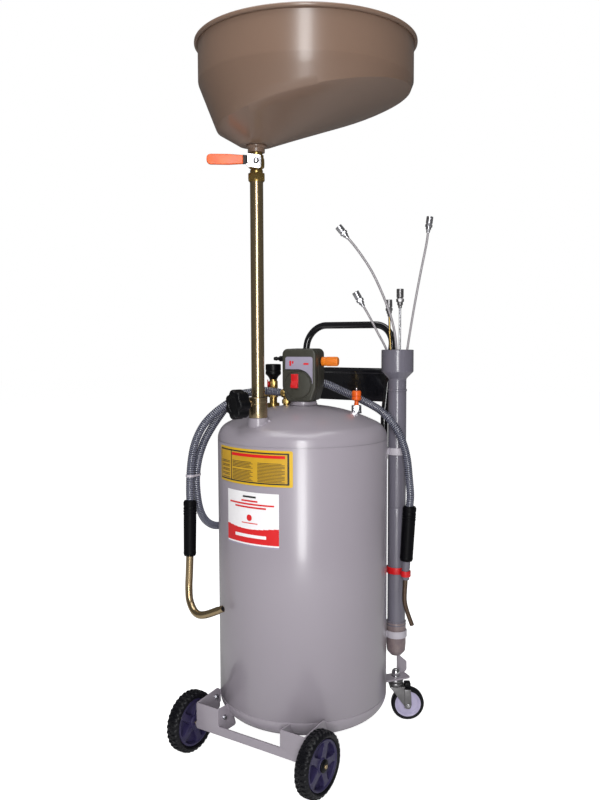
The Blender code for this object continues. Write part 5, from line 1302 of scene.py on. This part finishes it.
def make_hoses():
    left_grip = make_grip("discharge_tool_grip", LEFT_GRIP, 0.0155, "discharge_grip")
    right_grip = make_grip("suction_tool_grip", RIGHT_GRIP, 0.0163, "suction_grip")
    wide, narrow, neck = 0.0088, 0.0078, 0.213
    piece("discharge_tool_spout", YELLOW_ZINC, "tank",
          [sweep(smooth_route(LEFT_WAND, 0.003), lambda distance, turn: wide if distance <= neck else narrow, 40)],
          nodes=("discharge_spout",), crease=50)
    tip, before = Vector(LEFT_WAND[-1]), Vector(LEFT_WAND[-2])
    # Painted shade: a black disc set into the solid spout's end stands for the dark inside of its open bore.
    mouth = peg(0.006, -0.004, 0.0005, 0.0003, 40, along(tip, tip - before))
    piece("discharge_tool_bore_shade", BLACK_PLASTIC, "tank", [mouth])
    piece("suction_tool_spout", BRONZE, "tank",
          [sweep(smooth_route(RIGHT_WAND, 0.003),
                 lambda distance, turn: 0.006 - 0.0008 * min(1.0, distance / 0.14), 32)],
          nodes=("suction_spout",), crease=50)
    start, end = Vector(RIGHT_WAND[0]), Vector(RIGHT_WAND[1])
    ferrule = lathe([(0, 0.0), (0.0098, 0.0), (0.0098, 0.0175, 0.0008), (0.0092, 0.018),
                     (0.0092, 0.0455, 0.001), (0, 0.0455)], 48, along(start, end - start))
    piece("suction_tool_ferrule", PVC_GREY, "tank", [ferrule])
    make_hose("discharge_hose_skin", DISCHARGE_ROUTE, "discharge_hose")
    make_hose("return_hose_skin", RETURN_ROUTE, "return_hose")
    make_hose("suction_hose_skin", SUCTION_ROUTE, "suction_hose")
    make_hose_ends()


def make_hose_ends():
    """The elbow that takes the return hose into the tank, and the tie round the two left hoses."""
    start = Vector(RETURN_ROUTE[-1])
    ahead = (start - Vector(RETURN_ROUTE[-2])).normalized()
    bend = start + ahead * 0.022
    inward = Vector((-bend.x, -bend.y, 0)).normalized()
    wall = bend + inward * (math.hypot(bend.x, bend.y) - TANK_R - 0.0004)
    arc = [start + ahead * 0.0005, start + ahead * 0.008]
    arc += [bend - ahead * 0.008 * math.cos(a) + inward * 0.006 * math.sin(a) for a in (0.4, 0.9,
                                                                                        1.4)] + [wall]
    flange = peg(0.013, -0.001, 0.0035, 0.0006, 48, along(wall, -inward))
    piece("rear_elbow_skin", BRASS, "tank", [sweep(arc, 0.008, 32), flange], nodes=("rear_elbow",))
    one, other = Vector(DISCHARGE_ROUTE[10]), Vector(RETURN_ROUTE[9])
    middle, gap = (one + other) / 2, one - other
    reach, high, inset = HOSE_R + 0.001, 0.0026, 1 - 0.0009 / 0.0105
    long = reach + gap.length / 2
    outline = panel((-long, -reach), (long, reach), 0.0102, 8)
    inner = [(x * inset, y * inset) for x, y in outline]
    rings = [[(x, y, z) for x, y in shape]
             for shape, z in ((outline, -high), (outline, high), (inner, high), (inner, -high))]
    piece("hose_tie", WHITE_PLASTIC, "tank", [loft(rings, loop=True)],
          place(*middle, rz=math.atan2(gap.y, gap.x)))


# ---------------------------------------------------------------- studio

def area_light(name, place_at, target, size, power):
    data = bpy.data.lights.new(name, "AREA")
    data.shape = "RECTANGLE"
    data.size, data.size_y = size
    data.energy = power
    light = bpy.data.objects.new(name, data)
    light.location = AXIS + Vector(place_at)
    light.rotation_euler = (Vector(target) - Vector(place_at)).to_track_quat("-Z", "Y").to_euler()
    bpy.context.scene.collection.objects.link(light)


def make_studio():
    """A white sweep to the camera over a darker room, so bright metal keeps its dark edges."""
    floor_bm = bmesh.new()
    bmesh.ops.create_grid(floor_bm, x_segments=2, y_segments=2, size=14)
    mesh = bpy.data.meshes.new("floor")
    floor_bm.to_mesh(mesh)
    floor_bm.free()
    floor = bpy.data.objects.new("floor", mesh)
    bpy.context.scene.collection.objects.link(floor)
    pale = bpy.data.materials.new("pale_floor")
    pale.use_nodes = True
    nodes, links = pale.node_tree.nodes, pale.node_tree.links
    shader = nodes["Principled BSDF"]
    for key, value in (("Base Color", (0.8, 0.8, 0.8, 1)), ("Roughness", 1.0), ("Specular IOR Level", 0.0),
                       ("Emission Color", (1, 1, 1, 1))):
        shader.inputs[key].default_value = value
    glow = nodes.new("ShaderNodeMath")
    glow.operation = "MULTIPLY"
    glow.inputs[1].default_value = FLOOR_GLOW
    links.new(nodes.new("ShaderNodeLightPath").outputs["Is Camera Ray"], glow.inputs[0])
    links.new(glow.outputs["Value"], shader.inputs["Emission Strength"])
    mesh.materials.append(pale)
    world = bpy.data.worlds.new("studio")
    world.use_nodes = True
    nodes, links = world.node_tree.nodes, world.node_tree.links
    room, backdrop = nodes["Background"], nodes.new("ShaderNodeBackground")
    for shade, strength in ((room, ROOM_LIGHT), (backdrop, 1.0)):
        shade.inputs["Color"].default_value = (1, 1, 1, 1)
        shade.inputs["Strength"].default_value = strength
    mix = nodes.new("ShaderNodeMixShader")
    links.new(nodes.new("ShaderNodeLightPath").outputs["Is Camera Ray"], mix.inputs["Fac"])
    links.new(room.outputs["Background"], mix.inputs[1])
    links.new(backdrop.outputs["Background"], mix.inputs[2])
    links.new(mix.outputs["Shader"], nodes["World Output"].inputs["Surface"])
    bpy.context.scene.world = world
    for light in LIGHTS:
        area_light(*light)
    bpy.context.scene.view_settings.view_transform = "Standard"


def make_camera():
    data = bpy.data.cameras.new("camera")
    data.sensor_width = 36.0
    data.lens = CAMERA_LENS
    camera = bpy.data.objects.new("camera", data)
    turn = Matrix.Rotation(CAMERA_YAW, 4, "Z") @ Matrix.Rotation(CAMERA_TILT, 4, "X")
    roll = Matrix.Rotation(CAMERA_ROLL, 4, "Z")
    camera.matrix_world = Matrix.Translation(AXIS + CAMERA_PLACE) @ turn @ roll
    bpy.context.scene.collection.objects.link(camera)
    bpy.context.scene.camera = camera


make_camera()
make_studio()
make_tank()
make_labels()
make_guide()
make_post()
make_valve()
make_pan()
make_suction_head()
make_gauge()
make_safety_valve()
make_handle()
make_tray()
make_holder()
make_probes()
make_axle_bracket()
make_wheels()
make_casters()
make_hoses()
